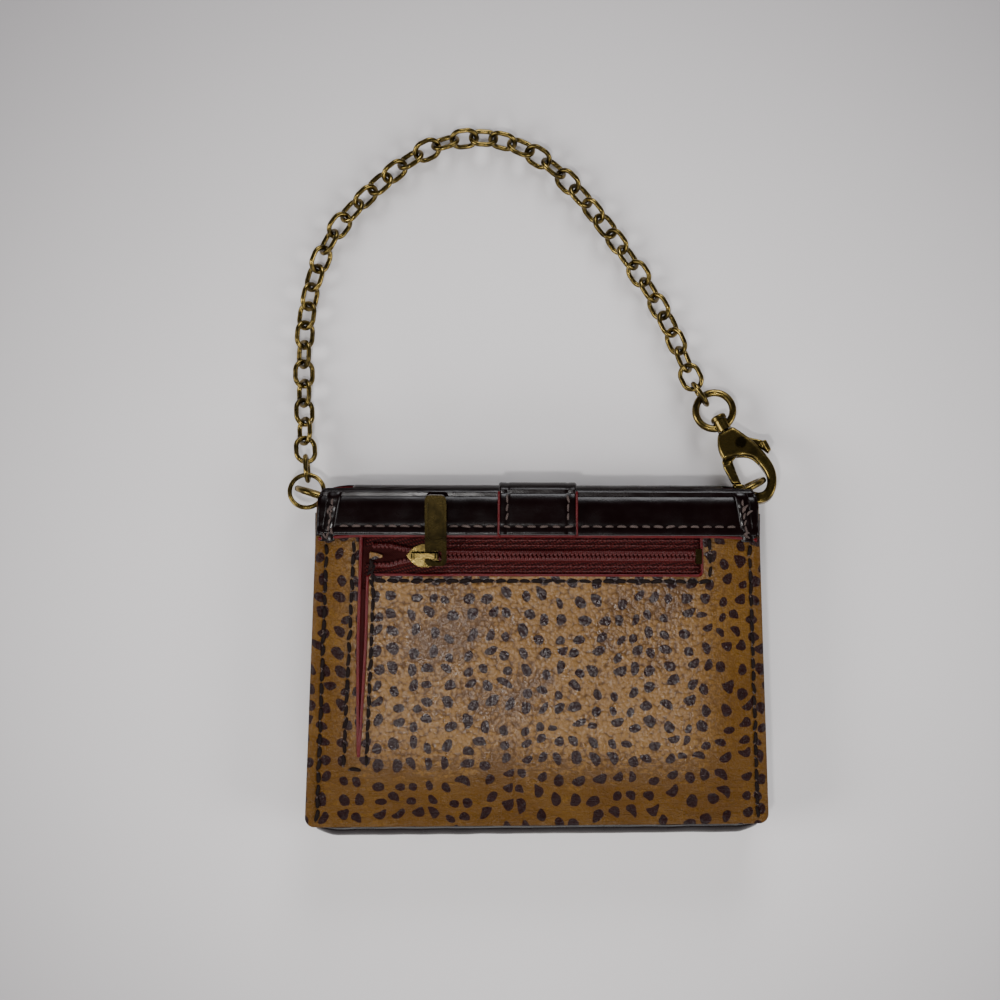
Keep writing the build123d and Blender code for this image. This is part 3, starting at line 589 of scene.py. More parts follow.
TAN = spotted_leather()
OXBLOOD = oxblood_leather()
PAINT = edge_paint()
TAPE = zip_tape_cloth()
COIL = coil_plastic()
BRASS = antique_brass()
BRASS_DARK = antique_brass("antique_brass_dark", 0.5)
# painted shade: a darker copy of the brass for the zip slider, which dims the key light's reflection on its
# flat top
BRASS_SHADED = antique_brass("antique_brass_shaded", 0.72)
SNAP_METAL = steel("snap_metal", (150, 136, 104))
SPRING_METAL = steel("spring_metal", (170, 170, 172))
DARK_THREAD = thread("dark_thread", rgb(10, 5, 5), rgb(44, 28, 24))
LIGHT_THREAD = thread("light_thread", rgb(56, 45, 43), rgb(128, 112, 105))
CLOTH = lining_cloth()


# ------------------------------------------------------------------ the zipped back panel

PANEL_ROUND = 3.0
PANEL_STEP, PANEL_RIM = 0.5, 0.4
SHEET_MARGIN = 0.5
SEAM_WIDTH, SEAM_DEPTH = 0.55, 0.34
PILLOW, PILLOW_Y, PILLOW_REACH = 0.35, 4, 50
SIDE_ROLL, SIDE_ROLL_WIDTH = 0.45, 1.5
LOW_ROLL, LOW_ROLL_WIDTH = 0.3, 1.8
WRINKLE, WRINKLE_FROM_Y, WRINKLE_FADE = 0.10, -24, 10
WAVE = 0.14
EDGE_FALL, EDGE_FALL_WIDTH = 0.45, 0.9
EDGE_Z = PANEL_Z - 0.5
BEAD_STEP = 0.8
WINDOW_BEAD, SLIT_BEAD, STRAP_BEAD, STRIP_BEAD = 0.42, 0.5, 0.34, 0.55


def slit_half(y):
    """Half the slit's width, which narrows to a point at its lower end."""
    share = np.clip((y - SLIT_END_Y) / (SLIT_NARROWS_Y - SLIT_END_Y), 0, 1)
    return (SLIT_RIGHT - SLIT_LEFT) / 2 * share ** 0.7


def slit_edge(x, y):
    middle = (SLIT_LEFT + SLIT_RIGHT) / 2
    return np.maximum(np.abs(x - middle) - slit_half(y), SLIT_END_Y - y)


def window_edge(x, y):
    """The zip's window, which runs on under the folded strip."""
    return rounded_box(x, y, (WINDOW_LEFT, WINDOW_LOW), (WINDOW_RIGHT, WINDOW_HIGH + 6), WINDOW_ROUND)


def panel_edge(x, y):
    """Round corners below, square ones under the strip, and the window and slit cut out."""
    body = rounded_box(x, y, (-HALF_W, BOTTOM_Y), (HALF_W, PANEL_TOP_Y + 4), PANEL_ROUND)
    body = np.maximum(body, y - PANEL_TOP_Y)
    return np.maximum(body, -np.minimum(window_edge(x, y), slit_edge(x, y)))


def seam_dip(x, y):
    """How far the stitch lines pull the leather down."""
    side = groove(np.abs(x) - SIDE_SEAM_X, SEAM_WIDTH)
    under = groove(y - UNDER_SEAM_Y, SEAM_WIDTH) * (x > UNDER_SEAM_LEFT + 0.2) * (x < UNDER_SEAM_RIGHT + 0.1)
    pucker = 0.75 + 0.25 * np.cos(math.tau * (x + y) / STITCH_PITCH)
    return SEAM_DEPTH * np.maximum(side, under) * pucker


def panel_top(x, y, edge):
    """A low pillow with rolled rims, wrinkled along its lower edge. edge is the distance to its rim."""
    pillow = PILLOW * (1 - (x / HALF_W) ** 2) * (1 - ((y - PILLOW_Y) / PILLOW_REACH) ** 2)
    side_roll = SIDE_ROLL * roll(np.abs(x) - (HALF_W - SIDE_ROLL_WIDTH), SIDE_ROLL_WIDTH)
    low_roll = LOW_ROLL * roll(y - (BOTTOM_Y + LOW_ROLL_WIDTH), LOW_ROLL_WIDTH)
    wrinkle = WRINKLE * ripple(x * 0.35, y, 3.6, 5) * np.clip((WRINKLE_FROM_Y - y) / WRINKLE_FADE, 0, 1)
    wave = WAVE * ripple(x, y, 24.0, 3)
    drop = EDGE_FALL * np.clip(1 + edge / EDGE_FALL_WIDTH, 0, 1) ** 2
    return PANEL_Z - PILLOW + pillow + side_roll + low_roll + wrinkle + wave - seam_dip(x, y) - drop


def panel_low(x, y, edge):
    return np.full_like(x, PANEL_BACK_Z) + 0.05


def back_panel():
    xs = (-HALF_W - SHEET_MARGIN, HALF_W + SHEET_MARGIN)
    ys = (BOTTOM_Y - SHEET_MARGIN, PANEL_TOP_Y + SHEET_MARGIN)
    points, faces = sheet_solid(panel_edge, xs, ys, PANEL_STEP, PANEL_RIM, panel_top, panel_low)
    finish_piece(make("back_panel_finished", points, faces, [TAN]), "root", "tan_leather", "back_panel")


def painted_edge(name, line, z, radius):
    """A painted bead along a cut edge, from its (x, y) points."""
    points, faces = tube(dense([(x, y, z) for x, y in line], BEAD_STEP), radius)
    finish_piece(make(name, points, faces, [PAINT]), "root", "oxblood_leather")


def window_line():
    """The window's right end, its round corner and its lower edge."""
    radius = WINDOW_ROUND
    line = [(WINDOW_RIGHT, STRIP_EDGE_Y + 0.6), (WINDOW_RIGHT, WINDOW_LOW + radius)]
    line += arc((WINDOW_RIGHT - radius, WINDOW_LOW + radius), (radius, radius), 0, -90, 7)
    return line + [(WINDOW_LEFT, WINDOW_LOW)]


def slit_side(side):
    """The left side starts under the strip, and the right one at the window."""
    middle = (SLIT_LEFT + SLIT_RIGHT) / 2
    start = WINDOW_LOW if side > 0 else STRIP_EDGE_Y + 0.6
    return [(middle + side * slit_half(y), y) for y in np.linspace(start, SLIT_END_Y, 40)]


back_panel()
painted_edge("window_painted_edge", window_line(), EDGE_Z, WINDOW_BEAD)
for side in (-1, 1):
    painted_edge(f"slit_painted_edge_{SIDES[side]}", slit_side(side), EDGE_Z, SLIT_BEAD)


# ------------------------------------------------------------------ the folded strip and strap

FOLD_Y, FOLD_Z = 6.5, 4.5
FOLD_STEP = 0.55
FOLD_RIM, FOLD_RIM_DROP = 0.6, 0.4
STRIP_THICK, STRAP_THICK = 1.15, 1.0
STRIP_COLUMNS, STRAP_COLUMNS = 230, 60
FOLD_SEAM_WIDTH, FOLD_SEAM_DEPTH = 0.5, 0.12
COVER_LOW_Z = COVER_LOW[2]
BACK_HALF, SPINE_HALF, COVER_HALF = HALF_W - 0.3, 53.3, 61.5
SPINE_NARROWS, SPINE_INSET = 3.6, 1.6
BACK_PART_Z, FRONT_PART_Z, FRONT_PART_Y = STRIP_Z - 2.2, 2.0, TOP_Y - 2
COVER_TOP_Z, COVER_WIDENS = 3.2, 1.9
COVER_ROUND = 6.0


def folded(name, half_width, profile, thickness, seams, columns):
    """Leather folded over the top edge. profile is a list of (y, z) points along its outside, from the
    back's lower edge round to the front's, and seams gives how far each point is sunk."""
    line = dense([(0.0, y, z) for y, z in profile], FOLD_STEP)[:, 1:]
    along = np.gradient(line, axis=0)
    along /= np.linalg.norm(along, axis=1, keepdims=True)
    inward_y, inward_z = along[:, 1:], -along[:, :1]
    half = half_width(line)[:, None]
    x = half * np.linspace(-1, 1, columns)[None, :]
    y = np.repeat(line[:, :1], columns, 1)
    z = np.repeat(line[:, 1:], columns, 1)
    place = np.arange(len(line))
    from_end = np.minimum(place, place[::-1])[:, None] * FOLD_STEP
    rim = np.minimum(np.clip((half - np.abs(x)) / FOLD_RIM, 0, 1), np.clip(from_end / FOLD_RIM, 0, 1))
    sunk = FOLD_RIM_DROP * (1 - np.sqrt(np.maximum(0, 1 - (1 - rim) ** 2))) + seams(x, y, z)
    top = np.stack([x, y + inward_y * sunk, z + inward_z * sunk], -1)
    under = np.stack([x, y + inward_y * thickness, z + inward_z * thickness], -1)
    points, faces, kinds = grid_solid(top, under)
    return make(name, points, faces, [OXBLOOD, PAINT], kinds)


def fold_profile(back, top_y, side_z, front_round, front):
    """(y, z) points over the top edge, between its (y, z) places on the back and at the front."""
    line = [back, (top_y - FOLD_Y, back[1])]
    line += arc((top_y - FOLD_Y, back[1] - FOLD_Z), (FOLD_Y, FOLD_Z), 90, 0)[1:]
    line += [(top_y, side_z)]
    line += arc((top_y - front_round, front[1] + front_round), (front_round, front_round), 0, -90)[1:]
    return line + [front]


def strip_width(line):
    """Wide over the back and the flap, narrower at the spine between the D-rings."""
    y, z = line[:, 0], line[:, 1]
    spine = np.clip((y - (TOP_Y - SPINE_NARROWS)) / SPINE_NARROWS, 0, 1)
    widening = np.clip((COVER_TOP_Z - z) / COVER_WIDENS, 0, 1)
    narrow = np.where(z > COVER_TOP_Z, SPINE_HALF, SPINE_HALF + (COVER_HALF - SPINE_HALF) * widening)
    width = np.where(z > BACK_PART_Z, BACK_HALF - SPINE_INSET * spine, narrow)
    rise = np.clip((COVER_LOW[1] + COVER_ROUND - y) / COVER_ROUND, 0, 1)
    front = COVER_HALF - COVER_ROUND * (1 - np.sqrt(np.maximum(0, 1 - rise ** 2)))
    return np.where((z < FRONT_PART_Z) & (y < FRONT_PART_Y), front, width)


def thinning(y, slope):
    """The folds lie lower towards the top edge."""
    return slope * np.clip(y - STRIP_EDGE_Y - 1.0, 0, 12)


def strip_seams(x, y, z):
    back = z > STRIP_Z - 1.0
    seam = groove(y - STRIP_SEAM_Y, FOLD_SEAM_WIDTH) * back
    dents = 0.04 * (ripple(x, z + y, 13.0, 21) + 0.6 * ripple(x * 0.6, y, 5.0, 22)) + 0.05
    return FOLD_SEAM_DEPTH * seam + dents + thinning(y, 0.10) * back


def strap_width(line):
    return np.full(len(line), STRAP_HALF)


def strap_seams(x, y, z):
    back = z > STRAP_Z - 1.0
    sides = groove(np.abs(x) - STRAP_SEAM_X, FOLD_SEAM_WIDTH)
    lines = np.minimum(sides + groove(y - STRIP_SEAM_Y, FOLD_SEAM_WIDTH) * back, 1)
    return FOLD_SEAM_DEPTH * lines + 0.03 * ripple(x, y + z, 9.0, 31) + 0.05 + thinning(y, 0.08) * back


def strip_edge_y(x):
    """The strip's lower edge dips at its two ends."""
    return STRIP_EDGE_Y + 0.15 - 1.1 * np.clip((abs(x) - 51) / 12, 0, 1) ** 1.5


strip_profile = fold_profile((STRIP_EDGE_Y, STRIP_Z), TOP_Y, COVER_LOW_Z + 1.7, 1.5,
                             (COVER_LOW[1], COVER_LOW_Z))
strip = folded("flap_leather", strip_width, strip_profile, STRIP_THICK, strip_seams, STRIP_COLUMNS)
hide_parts("flap_back_strip", "flap_cover")

strap_profile = fold_profile((STRIP_EDGE_Y + 0.1, STRAP_Z), STRAP_TOP_Y, 2.0, 1.9, (STRAP_FRONT_Y, 0.0))
strap = folded("closure_strap_leather", strap_width, strap_profile, STRAP_THICK, strap_seams, STRAP_COLUMNS)
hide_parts("closure_strap_back", "closure_strap_front")
for thing in (strip, strap):
    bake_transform(thing)

for side in (-1, 1):
    x = side * (STRAP_HALF - 0.05)
    painted_edge(f"strap_painted_edge_{SIDES[side]}", [(x, STRIP_EDGE_Y + 0.3), (x, STRAP_TOP_Y - 2.6)],
                 STRAP_Z - 0.5, STRAP_BEAD)
painted_edge("strap_painted_edge_end", [(x, STRIP_EDGE_Y + 0.15) for x in (STRAP_HALF, -STRAP_HALF)],
             STRAP_Z - 0.55, STRAP_BEAD)
strip_line = [(x, strip_edge_y(x)) for x in np.linspace(-HALF_W + 1.0, HALF_W - 1.0, 60)]
painted_edge("strip_painted_edge", strip_line, STRIP_Z - 0.75, STRIP_BEAD)


# ------------------------------------------------------------------ stitching

Stitch = namedtuple("Stitch", "length radius wander bow")
PANEL_STITCH = Stitch(3.15, 0.55, 0.13, 0.22)
FIBRE = Stitch(0.95, 0.2, 0.3, 0.0)
STRIP_STITCH = Stitch(2.35, 0.34, 0.06, 0.18)
STRAP_STITCH = Stitch(2.1, 0.31, 0.16, 0.1)
COLUMN_STITCH = Stitch(1.7, 0.30, 0.5, 0.2)
KNOT = Stitch(1.8, 0.3, 0.6, 0.3)
TACK = Stitch(2.6, 0.36, 0.35, 0.2)
TAPE_STITCH = Stitch(1.25, 0.24, 0.25, 0.0)
STRIP_PITCH, STRAP_PITCH, COLUMN_PITCH = 3.5, 2.5, 2.0
FIBRE_CHANCE = 0.8
THREAD_SWELL = np.array([0.55, 0.9, 1.0, 1.03, 1.0, 0.9, 0.55])
SIDE_SEAM_TOP_Y, SIDE_SEAM_END_Y = 31.5, -46.3
SLIT_SEAM_LEFT, SLIT_SEAM_RIGHT = SLIT_LEFT - 2.5, SLIT_RIGHT + 1.6
SLIT_SEAM_TOP_Y, SLIT_SEAM_END_Y = 32.2, -31.0
STRIP_SEAM_END_X = 57.0

random = np.random.default_rng(12)


def stitches(line, stitch, height):
    """Short arched threads of one kind along a list of (x, y, heading) places. height gives z at x, y."""
    length, radius, wander, bow = stitch
    parts = []
    for x, y, heading in line:
        # One draw is left unused for each stitch, because the later draws depend on it.
        random.random()
        turn = heading + random.normal(0, wander)
        reach = length * random.uniform(0.88, 1.1) / 2
        ux, uy = math.cos(turn), math.sin(turn)
        path = []
        for t in np.linspace(-1, 1, len(THREAD_SWELL)):
            sideways = bow * (1 - t * t)
            px, py = x + ux * reach * t - uy * sideways, y + uy * reach * t + ux * sideways
            lift = radius * (0.9 * math.sqrt(max(0.0, 1 - t ** 4)) - 0.45)
            path.append((px, py, height(px, py) + lift))
        thick = radius * THREAD_SWELL * random.uniform(0.9, 1.12)
        parts.append(tube(path, thick, flat=0.8))
    return parts


def threads(name, parts, material, slot, *replaced):
    """Stitches joined in one piece."""
    points, faces = join(parts)
    finish_piece(make(name, points, faces, [material]), "root", slot, *replaced)


def row(start, end, pitch):
    """Places for stitches between two (x, y) points."""
    start, end = np.array(start, float), np.array(end, float)
    span = np.linalg.norm(end - start)
    count = max(1, int(round(span / pitch)))
    heading = math.atan2(end[1] - start[1], end[0] - start[0])
    return [(*(start + (end - start) * (i + 0.5) / count), heading) for i in range(count)]


def panel_surface(px, py):
    """The panel's height at one point away from its rims."""
    return float(panel_top(np.array([px]), np.array([py]), np.full(1, -5.0))[0])


def at_height(z):
    return lambda px, py: z


def panel_rows():
    """The side seams, the one under the window and up its right end, and those round the slit."""
    left, right = SLIT_SEAM_LEFT, SLIT_SEAM_RIGHT
    lines = [((x, SIDE_SEAM_TOP_Y), (x, SIDE_SEAM_END_Y)) for x in (-SIDE_SEAM_X, SIDE_SEAM_X)]
    lines += [
        ((UNDER_SEAM_LEFT, UNDER_SEAM_Y), (UNDER_SEAM_RIGHT, UNDER_SEAM_Y)),
        ((UNDER_SEAM_RIGHT, UNDER_SEAM_Y + 1.0), (UNDER_SEAM_RIGHT, STRIP_EDGE_Y - 0.3)),
        ((left + 0.4, SLIT_SEAM_TOP_Y), (left - 0.6, SLIT_SEAM_END_Y)),
        ((right, UNDER_SEAM_Y - 1.6), (right - 0.6, SLIT_SEAM_END_Y)),
        ((left + 0.2, SLIT_SEAM_END_Y - 0.9), (right - 1.0, SLIT_SEAM_END_Y - 0.9)),
    ]
    return [place for start, end in lines for place in row(start, end, STITCH_PITCH)]


def panel_threads():
    rows = panel_rows()
    threads("panel_threads", stitches(rows, PANEL_STITCH, panel_surface),
            DARK_THREAD, "dark_thread", "panel_stitching")
    fibres = []
    for x, y, heading in rows:
        if random.random() < FIBRE_CHANCE:
            at = random.choice((-1.0, 1.0)) * random.uniform(1.15, 1.45)
            turned = heading + random.normal(0, 0.5)
            fibres.append((x + math.cos(heading) * at, y + math.sin(heading) * at, turned))
    above = stitches(fibres, FIBRE, lambda px, py: panel_surface(px, py) + 0.18)
    threads("panel_thread_fibres", above, LIGHT_THREAD, "light_thread")


def strip_threads():
    """The strip's long seam, the strap's three seams, and the bindings' columns with their knots."""
    strip_rows, strap_rows, column_rows = [], [], []
    gap = STRAP_HALF + 0.6
    for start, end in ((-STRIP_SEAM_END_X, -gap), (gap, STRIP_SEAM_END_X)):
        strip_rows += row((start, STRIP_SEAM_Y), (end, STRIP_SEAM_Y), STRIP_PITCH)
    strap_rows += row((-STRAP_HALF + 0.6, STRIP_SEAM_Y), (STRAP_HALF - 0.6, STRIP_SEAM_Y), STRIP_PITCH)
    for side in (-1, 1):
        x = side * STRAP_SEAM_X
        strap_rows += row((x, STRIP_SEAM_Y + 1.6), (x, STRAP_TOP_Y - 3.4), STRAP_PITCH)
        column_rows += row((side * 59.8, STRIP_EDGE_Y - 0.6), (side * 58.6, TOP_Y - 4.0), COLUMN_PITCH)
    parts = stitches(strip_rows, STRIP_STITCH, at_height(STRIP_Z))
    parts += stitches(strap_rows, STRAP_STITCH, at_height(STRAP_Z))
    parts += stitches(column_rows, COLUMN_STITCH, at_height(STRIP_Z + 0.35))
    knots = [(side * random.uniform(57.8, 60.6), y + random.uniform(-0.5, 0.5), random.uniform(0, math.pi))
             for side in (-1, 1) for y in (34.0, 34.8, 40.6, 41.5)]
    parts += stitches(knots, KNOT, at_height(STRIP_Z + 0.5))
    threads("strip_threads", parts, LIGHT_THREAD, "light_thread", "strip_stitching")


panel_threads()
strip_threads()


# ------------------------------------------------------------------ the bindings at the strip's ends

BINDING_HALF = 2.0
BINDING_LOW_X, BINDING_LEAN = 59.9, 1.7
BINDING_LOW_Y, BINDING_TOP_Y = STRIP_EDGE_Y - 1.5, TOP_Y - 2.0
BINDING_ROWS, BINDING_COLUMNS = 40, 9


def end_binding(side):
    """A narrow dark strip sewn down over each end of the folded strip."""
    t = np.linspace(0, 1, BINDING_ROWS)[:, None]
    u = np.linspace(-1, 1, BINDING_COLUMNS)[None, :]
    x = side * (BINDING_LOW_X - BINDING_LEAN * t ** 1.6) + BINDING_HALF * u
    y = np.repeat(BINDING_LOW_Y + t * (BINDING_TOP_Y - BINDING_LOW_Y), BINDING_COLUMNS, 1)
    tucked = 0.3 * np.clip((t - 0.85) / 0.15, 0, 1) ** 2
    z = STRIP_Z - 0.1 - 0.3 * u ** 4 + 0.08 * ripple(x, y, 3.0, 40) - tucked
    z = z - 0.5 * np.clip((y - (TOP_Y - 4.5)) / 2.5, 0, 1) ** 2
    points, faces, _ = grid_solid(*with_flat_back(x, y, z, STRIP_Z - 1.2))
    finish_piece(make(f"end_binding_{SIDES[side]}", points, faces, [OXBLOOD]), "root", "oxblood_leather")


for side in (-1, 1):
    end_binding(side)


# ------------------------------------------------------------------ the zip

TOOTH = 1.2
CLOSED_GAP, PARTED_GAP, PARTED_OVER = 0.05, 2.0, 9.0
TOOTH_REACH, TOOTH_WIRE = 1.75, 0.27
CORE_WIRE = 0.42
TAPE_COLUMNS, TAPE_ROWS = 240, 26
TAPE_ROW_REACHES = (2.98, 4.4)
TONGUE_LEFT, TONGUE_RIGHT = WINDOW_LEFT + 0.2, WINDOW_LEFT + 4.2
TONGUE_Y, TONGUE_HALF = ZIP_Y - 0.2, 1.25
TONGUE_STEP, TONGUE_RIM = 0.25, 0.15


def zip_gap(x):
    """Half the space between the two rows of teeth: closed right of the slider, parted to its left."""
    return CLOSED_GAP + PARTED_GAP * np.clip((SLIDER_X - 1.0 - x) / PARTED_OVER, 0, 1) ** 1.2


def tape(name, node, side):
    """Half of the zip's woven tape, from the teeth out to its far edge."""
    low, high = corners(node)
    xs = np.linspace(low[0], high[0], TAPE_COLUMNS)
    far = high[1] if side > 0 else low[1]
    u = np.linspace(0, 1, TAPE_ROWS)[None, :]
    near = (ZIP_Y + side * (zip_gap(xs) + 0.35))[:, None]
    y = near + (far - near) * u
    x = np.repeat(xs[:, None], TAPE_ROWS, 1)
    top, under = with_flat_back(x, y, TAPE_Z + 0.05 * ripple(x, y, 6.0, 50 + side), low[2])
    if side < 0:
        top, under = top[:, ::-1], under[:, ::-1]
    points, faces, _ = grid_solid(top[::-1], under[::-1])
    finish_piece(make(name, points, faces, [TAPE]), "root", "zip_tape", node)


def coil(name, node, side):
    """A row of loops: each tooth crosses from the tape to the middle and back, round a core."""
    low, high = corners(node)
    xs = np.arange(low[0] + 0.6, high[0] - 0.4, TOOTH)
    parts, core = [], []
    for x in xs:
        half = float(zip_gap(np.array([x]))[0])
        start = ZIP_Y + side * (half - 0.1)
        end = start + side * TOOTH_REACH
        middle, tip = (start + end) / 2, start + side * 0.25
        foot_z, middle_z, tip_z = TAPE_Z + 0.25, COIL_Z - 0.28, COIL_Z - 0.3
        loop = [(-0.32, end, foot_z), (-0.30, middle, middle_z), (-0.16, tip, tip_z),
                (0.16, tip, tip_z), (0.30, middle, middle_z), (0.34, end, foot_z)]
        shift = 0.3 * side
        parts.append(tube([(x + dx + shift, y, z) for dx, y, z in loop], TOOTH_WIRE, 6))
        core.append((x, ZIP_Y + side * (half + 0.95), COIL_Z - 0.75))
    parts.append(tube(core, CORE_WIRE))
    points, faces = join(parts)
    finish_piece(make(name, points, faces, [COIL]), "root", "zip_coil", node)


def tongue_edge(x, y):
    """A small leather end for the zip, pointed towards the slider."""
    half = TONGUE_HALF * np.sqrt(np.clip((TONGUE_RIGHT - x) / (TONGUE_RIGHT - TONGUE_LEFT), 0, 1))
    return np.maximum(np.abs(y - TONGUE_Y) - half, TONGUE_LEFT - x)


def tongue():
    points, faces = sheet_solid(
        tongue_edge, (TONGUE_LEFT - SHEET_MARGIN, TONGUE_RIGHT + SHEET_MARGIN), (TONGUE_Y - 2, TONGUE_Y + 2),
        TONGUE_STEP, TONGUE_RIM,
        lambda x, y, edge: TAPE_Z + 0.75 + 0.2 * np.clip(-edge, 0, 1),
        lambda x, y, edge: np.full_like(x, TAPE_Z))
    finish_piece(make("zip_end_tongue", points, faces, [TAN]), "root", "tan_leather")


def bar_tack():
    """Crossed threads that hold the zip's left end."""
    tack = [(random.uniform(WINDOW_LEFT + 0.4, WINDOW_LEFT + 2.6), y, random.uniform(-0.6, 0.6) + math.pi / 2)
            for y in np.linspace(WINDOW_LOW - 2.4, WINDOW_LOW + 3.4, 9)]
    parts = stitches(tack, TACK, at_height(PANEL_Z - 0.1))
    threads("bar_tack", parts, DARK_THREAD, "dark_thread")


def tape_threads():
    """Two fine rows sewn along each tape."""
    rows = []
    for side in (-1, 1):
        for reach in TAPE_ROW_REACHES:
            y = ZIP_Y + side * reach
            rows += row((SLIDER_X + 3.0, y), (WINDOW_RIGHT - 0.6, y), TOOTH)
    threads("tape_threads", stitches(rows, TAPE_STITCH, at_height(TAPE_Z + 0.2)), COIL, "zip_coil")


tape("zip_tape_upper_woven", "zip_tape_upper", 1)
tape("zip_tape_lower_woven", "zip_tape_lower", -1)
coil("zip_teeth_upper", "zip_coil_upper", 1)
coil("zip_teeth_lower", "zip_coil_lower", -1)
tongue()
bar_tack()
tape_threads()


# ------------------------------------------------------------------ the inner pieces

GUSSET_BOW, GUSSET_THICK, GUSSET_OVERLAP = 3.7, 1.2, 0.6
PADDED_STEP = 1.0


def lower_gusset():
    """The bottom wall, in dark leather and bowed outwards a little so that its edge shows past the back panel
    as painted shade, a dark band under the bottom edge.
    """
    low, high = corners("gusset_bottom")
    reach = high[0] + GUSSET_OVERLAP
    x, v = np.meshgrid(np.linspace(low[0] - GUSSET_OVERLAP, reach, 90), np.linspace(0, 1, 14))
    z = low[2] + (PANEL_BACK_Z - low[2]) * v
    end = np.clip((reach - np.abs(x)) / 6.0, 0, 1) ** 0.5
    # the bow pushes this dark band of painted shade out past the back panel's lower edge
    bow = GUSSET_BOW * np.sin(math.pi * np.clip(v, 0.02, 0.98)) ** 0.6 * end
    y = BOTTOM_Y + 0.4 - bow + 0.1 * ripple(x, z, 9.0, 77)
    top = np.stack([x, y, z], -1)
    under = np.stack([x, y + GUSSET_THICK, z], -1)
    points, faces, _ = grid_solid(top, under)
    gusset = make("gusset_bottom_bowed", points, faces, [OXBLOOD])
    finish_piece(gusset, "root", "tan_leather", "gusset_bottom")


def padded(node, material, slot, rim=0.5, radius=2.0):
    """A flat piece of leather or cloth with rounded rims, in the place of its plain node."""
    low, high = corners(node)
    xs, ys = ((low[i] - SHEET_MARGIN, high[i] + SHEET_MARGIN) for i in (0, 1))
    points, faces = sheet_solid(
        lambda x, y: rounded_box(x, y, low[:2], high[:2], radius),
        xs, ys, PADDED_STEP, min(rim, (high[2] - low[2]) * 0.5),
        lambda x, y, edge: np.full_like(x, high[2]) - 0.02,
        lambda x, y, edge: np.full_like(x, low[2]) + 0.02)
    finish_piece(make(f"{node}_finished", points, faces, [material]), "root", slot, node)


lower_gusset()
padded("front_panel", TAN, "tan_leather")
padded("divider", CLOTH, "lining_cloth")
for number in (1, 2, 3):
    padded(f"card_slot_{number}", OXBLOOD, "oxblood_leather", radius=1.0)
padded("slit_backing", CLOTH, "oxblood_leather", rim=0.2, radius=0.6)


# ------------------------------------------------------------------ the CAD nodes that stay

LOOKS = {
    TAN: ("front_lower_panel",),
    OXBLOOD: ("gusset_left", "gusset_right", "dring_tab_left", "dring_tab_right"),
    CLOTH: ("flap_lining", "zip_pouch"),
    BRASS: ("dring_left", "dring_right", "jump_ring", "swivel_eye", "swivel_pin", "clasp_body", "clasp_gate",
            *(name for name in nodes if name.startswith("chain_"))),
    BRASS_SHADED: ("zip_slider",),
    BRASS_DARK: ("zip_pull_tab", "zip_end_stop", "clasp_rivet"),
    SPRING_METAL: ("clasp_spring",),
    SNAP_METAL: ("snap_stud", "snap_socket"),
}
SOFT_EDGED = ("zip_slider", "zip_pull_tab", "dring_tab_left", "dring_tab_right", "front_lower_panel",
              "gusset_left", "gusset_right", "flap_lining")
SOFT_EDGE = 0.18
CAST_VOXEL = 0.28
CAST_ROUNDS = {"clasp_body": 14, "clasp_gate": 6}


def soft_edges(node):
    bevel = node.modifiers.new("soft_edges", "BEVEL")
    bevel.width = SOFT_EDGE * MM
    bevel.segments = 3
    bevel.limit_method = "ANGLE"
    bevel.angle_limit = math.radians(40)
    bevel.harden_normals = True


def cast_skin(node, rounds):
    """Rounds a piece off like a casting."""
    remesh = node.modifiers.new("cast_skin", "REMESH")
    remesh.mode = "VOXEL"
    remesh.voxel_size = CAST_VOXEL * MM
    remesh.use_smooth_shade = True
    smooth = node.modifiers.new("cast_rounding", "SMOOTH")
    smooth.factor = 0.5
    smooth.iterations = rounds


for material, names in LOOKS.items():
    for name in names:
        nodes[name].data.materials.clear()
        nodes[name].data.materials.append(material)
for name in SOFT_EDGED:
    soft_edges(nodes[name])
for name, rounds in CAST_ROUNDS.items():
    cast_skin(nodes[name], rounds)


# ------------------------------------------------------------------ table, light and camera

TABLE_HALF = 0.9
TABLE_DROP = 0.0002
MIDDLE = (0, 0.05, 0)
WHITE, WARM, COOL = (1, 1, 1), (1.0, 0.985, 0.97), (0.96, 0.97, 1.0)
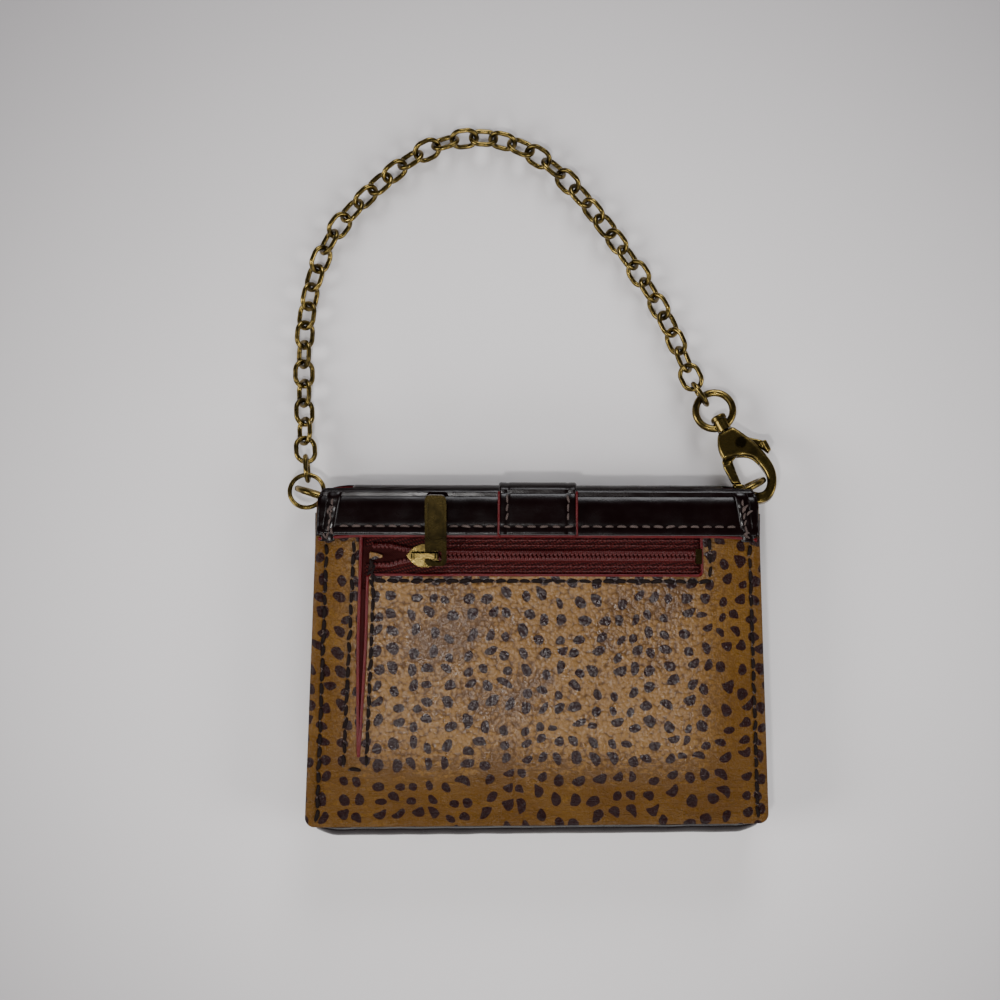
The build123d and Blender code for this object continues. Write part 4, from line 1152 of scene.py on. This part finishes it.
# name, place, target, size, power, colour
LIGHTS = (
    ("key", (-0.055, -0.05, 0.5), (-0.03, 0.0, 0), 0.03, 0.75, WARM),
    ("far_window", (0.1, 1.0, 0.55), MIDDLE, 0.5, 7.5, COOL),
    ("left_fill", (-0.95, -0.1, 0.6), MIDDLE, 0.6, 8.0, WHITE),
    ("right_fill", (0.95, -0.2, 0.6), MIDDLE, 0.6, 6.6, WHITE),
    ("near_fill", (0.0, -0.95, 0.6), MIDDLE, 0.6, 6.4, WHITE),
)
ROOM_COLOR, ROOM_STRENGTH = (0.80, 0.80, 0.82, 1), 0.03
CAMERA_PLACE, CAMERA_ROLL = (-0.01055, 0.04373, 0.4939), 0.16
LENS, SENSOR = 61.2, 36


def pale_table():
    """Matt and pale, with painted shade that makes it a little darker away from the middle, where the light
    falls off.
    """
    g = Graph("pale_table")
    far = g.vector("DISTANCE", g.mm, (0.0, 20.0, 0.0))
    tone = g.mix(g.noise(g.mm, 60.0, 3.0), rgb(230, 226, 226), rgb(234, 230, 230))
    # painted shade: the table is mixed darker with distance from the middle, as the light falls off
    tone = g.mix(g.smooth(far, 60.0, 290.0), tone, rgb(142, 138, 140))
    return g.done(tone, 0.7, Specular_IOR_Level=0.3)


def table_top():
    mesh = bpy.data.meshes.new("table_top")
    corner_signs = ((-1, -1), (1, -1), (1, 1), (-1, 1))
    mesh.from_pydata([(x * TABLE_HALF, y * TABLE_HALF, 0) for x, y in corner_signs], [], [(0, 1, 2, 3)])
    mesh.materials.append(pale_table())
    table = bpy.data.objects.new("table_top", mesh)
    bpy.context.scene.collection.objects.link(table)
    table.location.z = cad_box[0][2] - TABLE_DROP


def area_light(name, place, target, size, power, color):
    data = bpy.data.lights.new(name, "AREA")
    data.shape = "DISK"
    data.size = size
    data.energy = power
    data.color = color
    lamp = bpy.data.objects.new(name, data)
    lamp.location = Vector(place)
    lamp.rotation_euler = (Vector(target) - Vector(place)).to_track_quat("-Z", "Y").to_euler()
    bpy.context.scene.collection.objects.link(lamp)


def room():
    world = bpy.data.worlds.new("soft_room")
    world.use_nodes = True
    background = world.node_tree.nodes["Background"]
    background.inputs["Color"].default_value = ROOM_COLOR
    background.inputs["Strength"].default_value = ROOM_STRENGTH
    bpy.context.scene.world = world


def camera_above():
    """Looks straight down on the wallet, turned by a hair."""
    data = bpy.data.cameras.new("camera")
    data.lens = LENS
    data.sensor_width = SENSOR
    data.clip_start = 0.01
    camera = bpy.data.objects.new("camera", data)
    camera.location = CAMERA_PLACE
    camera.rotation_euler = (0, 0, math.radians(CAMERA_ROLL))
    bpy.context.scene.collection.objects.link(camera)
    bpy.context.scene.camera = camera


table_top()
for light in LIGHTS:
    area_light(*light)
room()
camera_above()
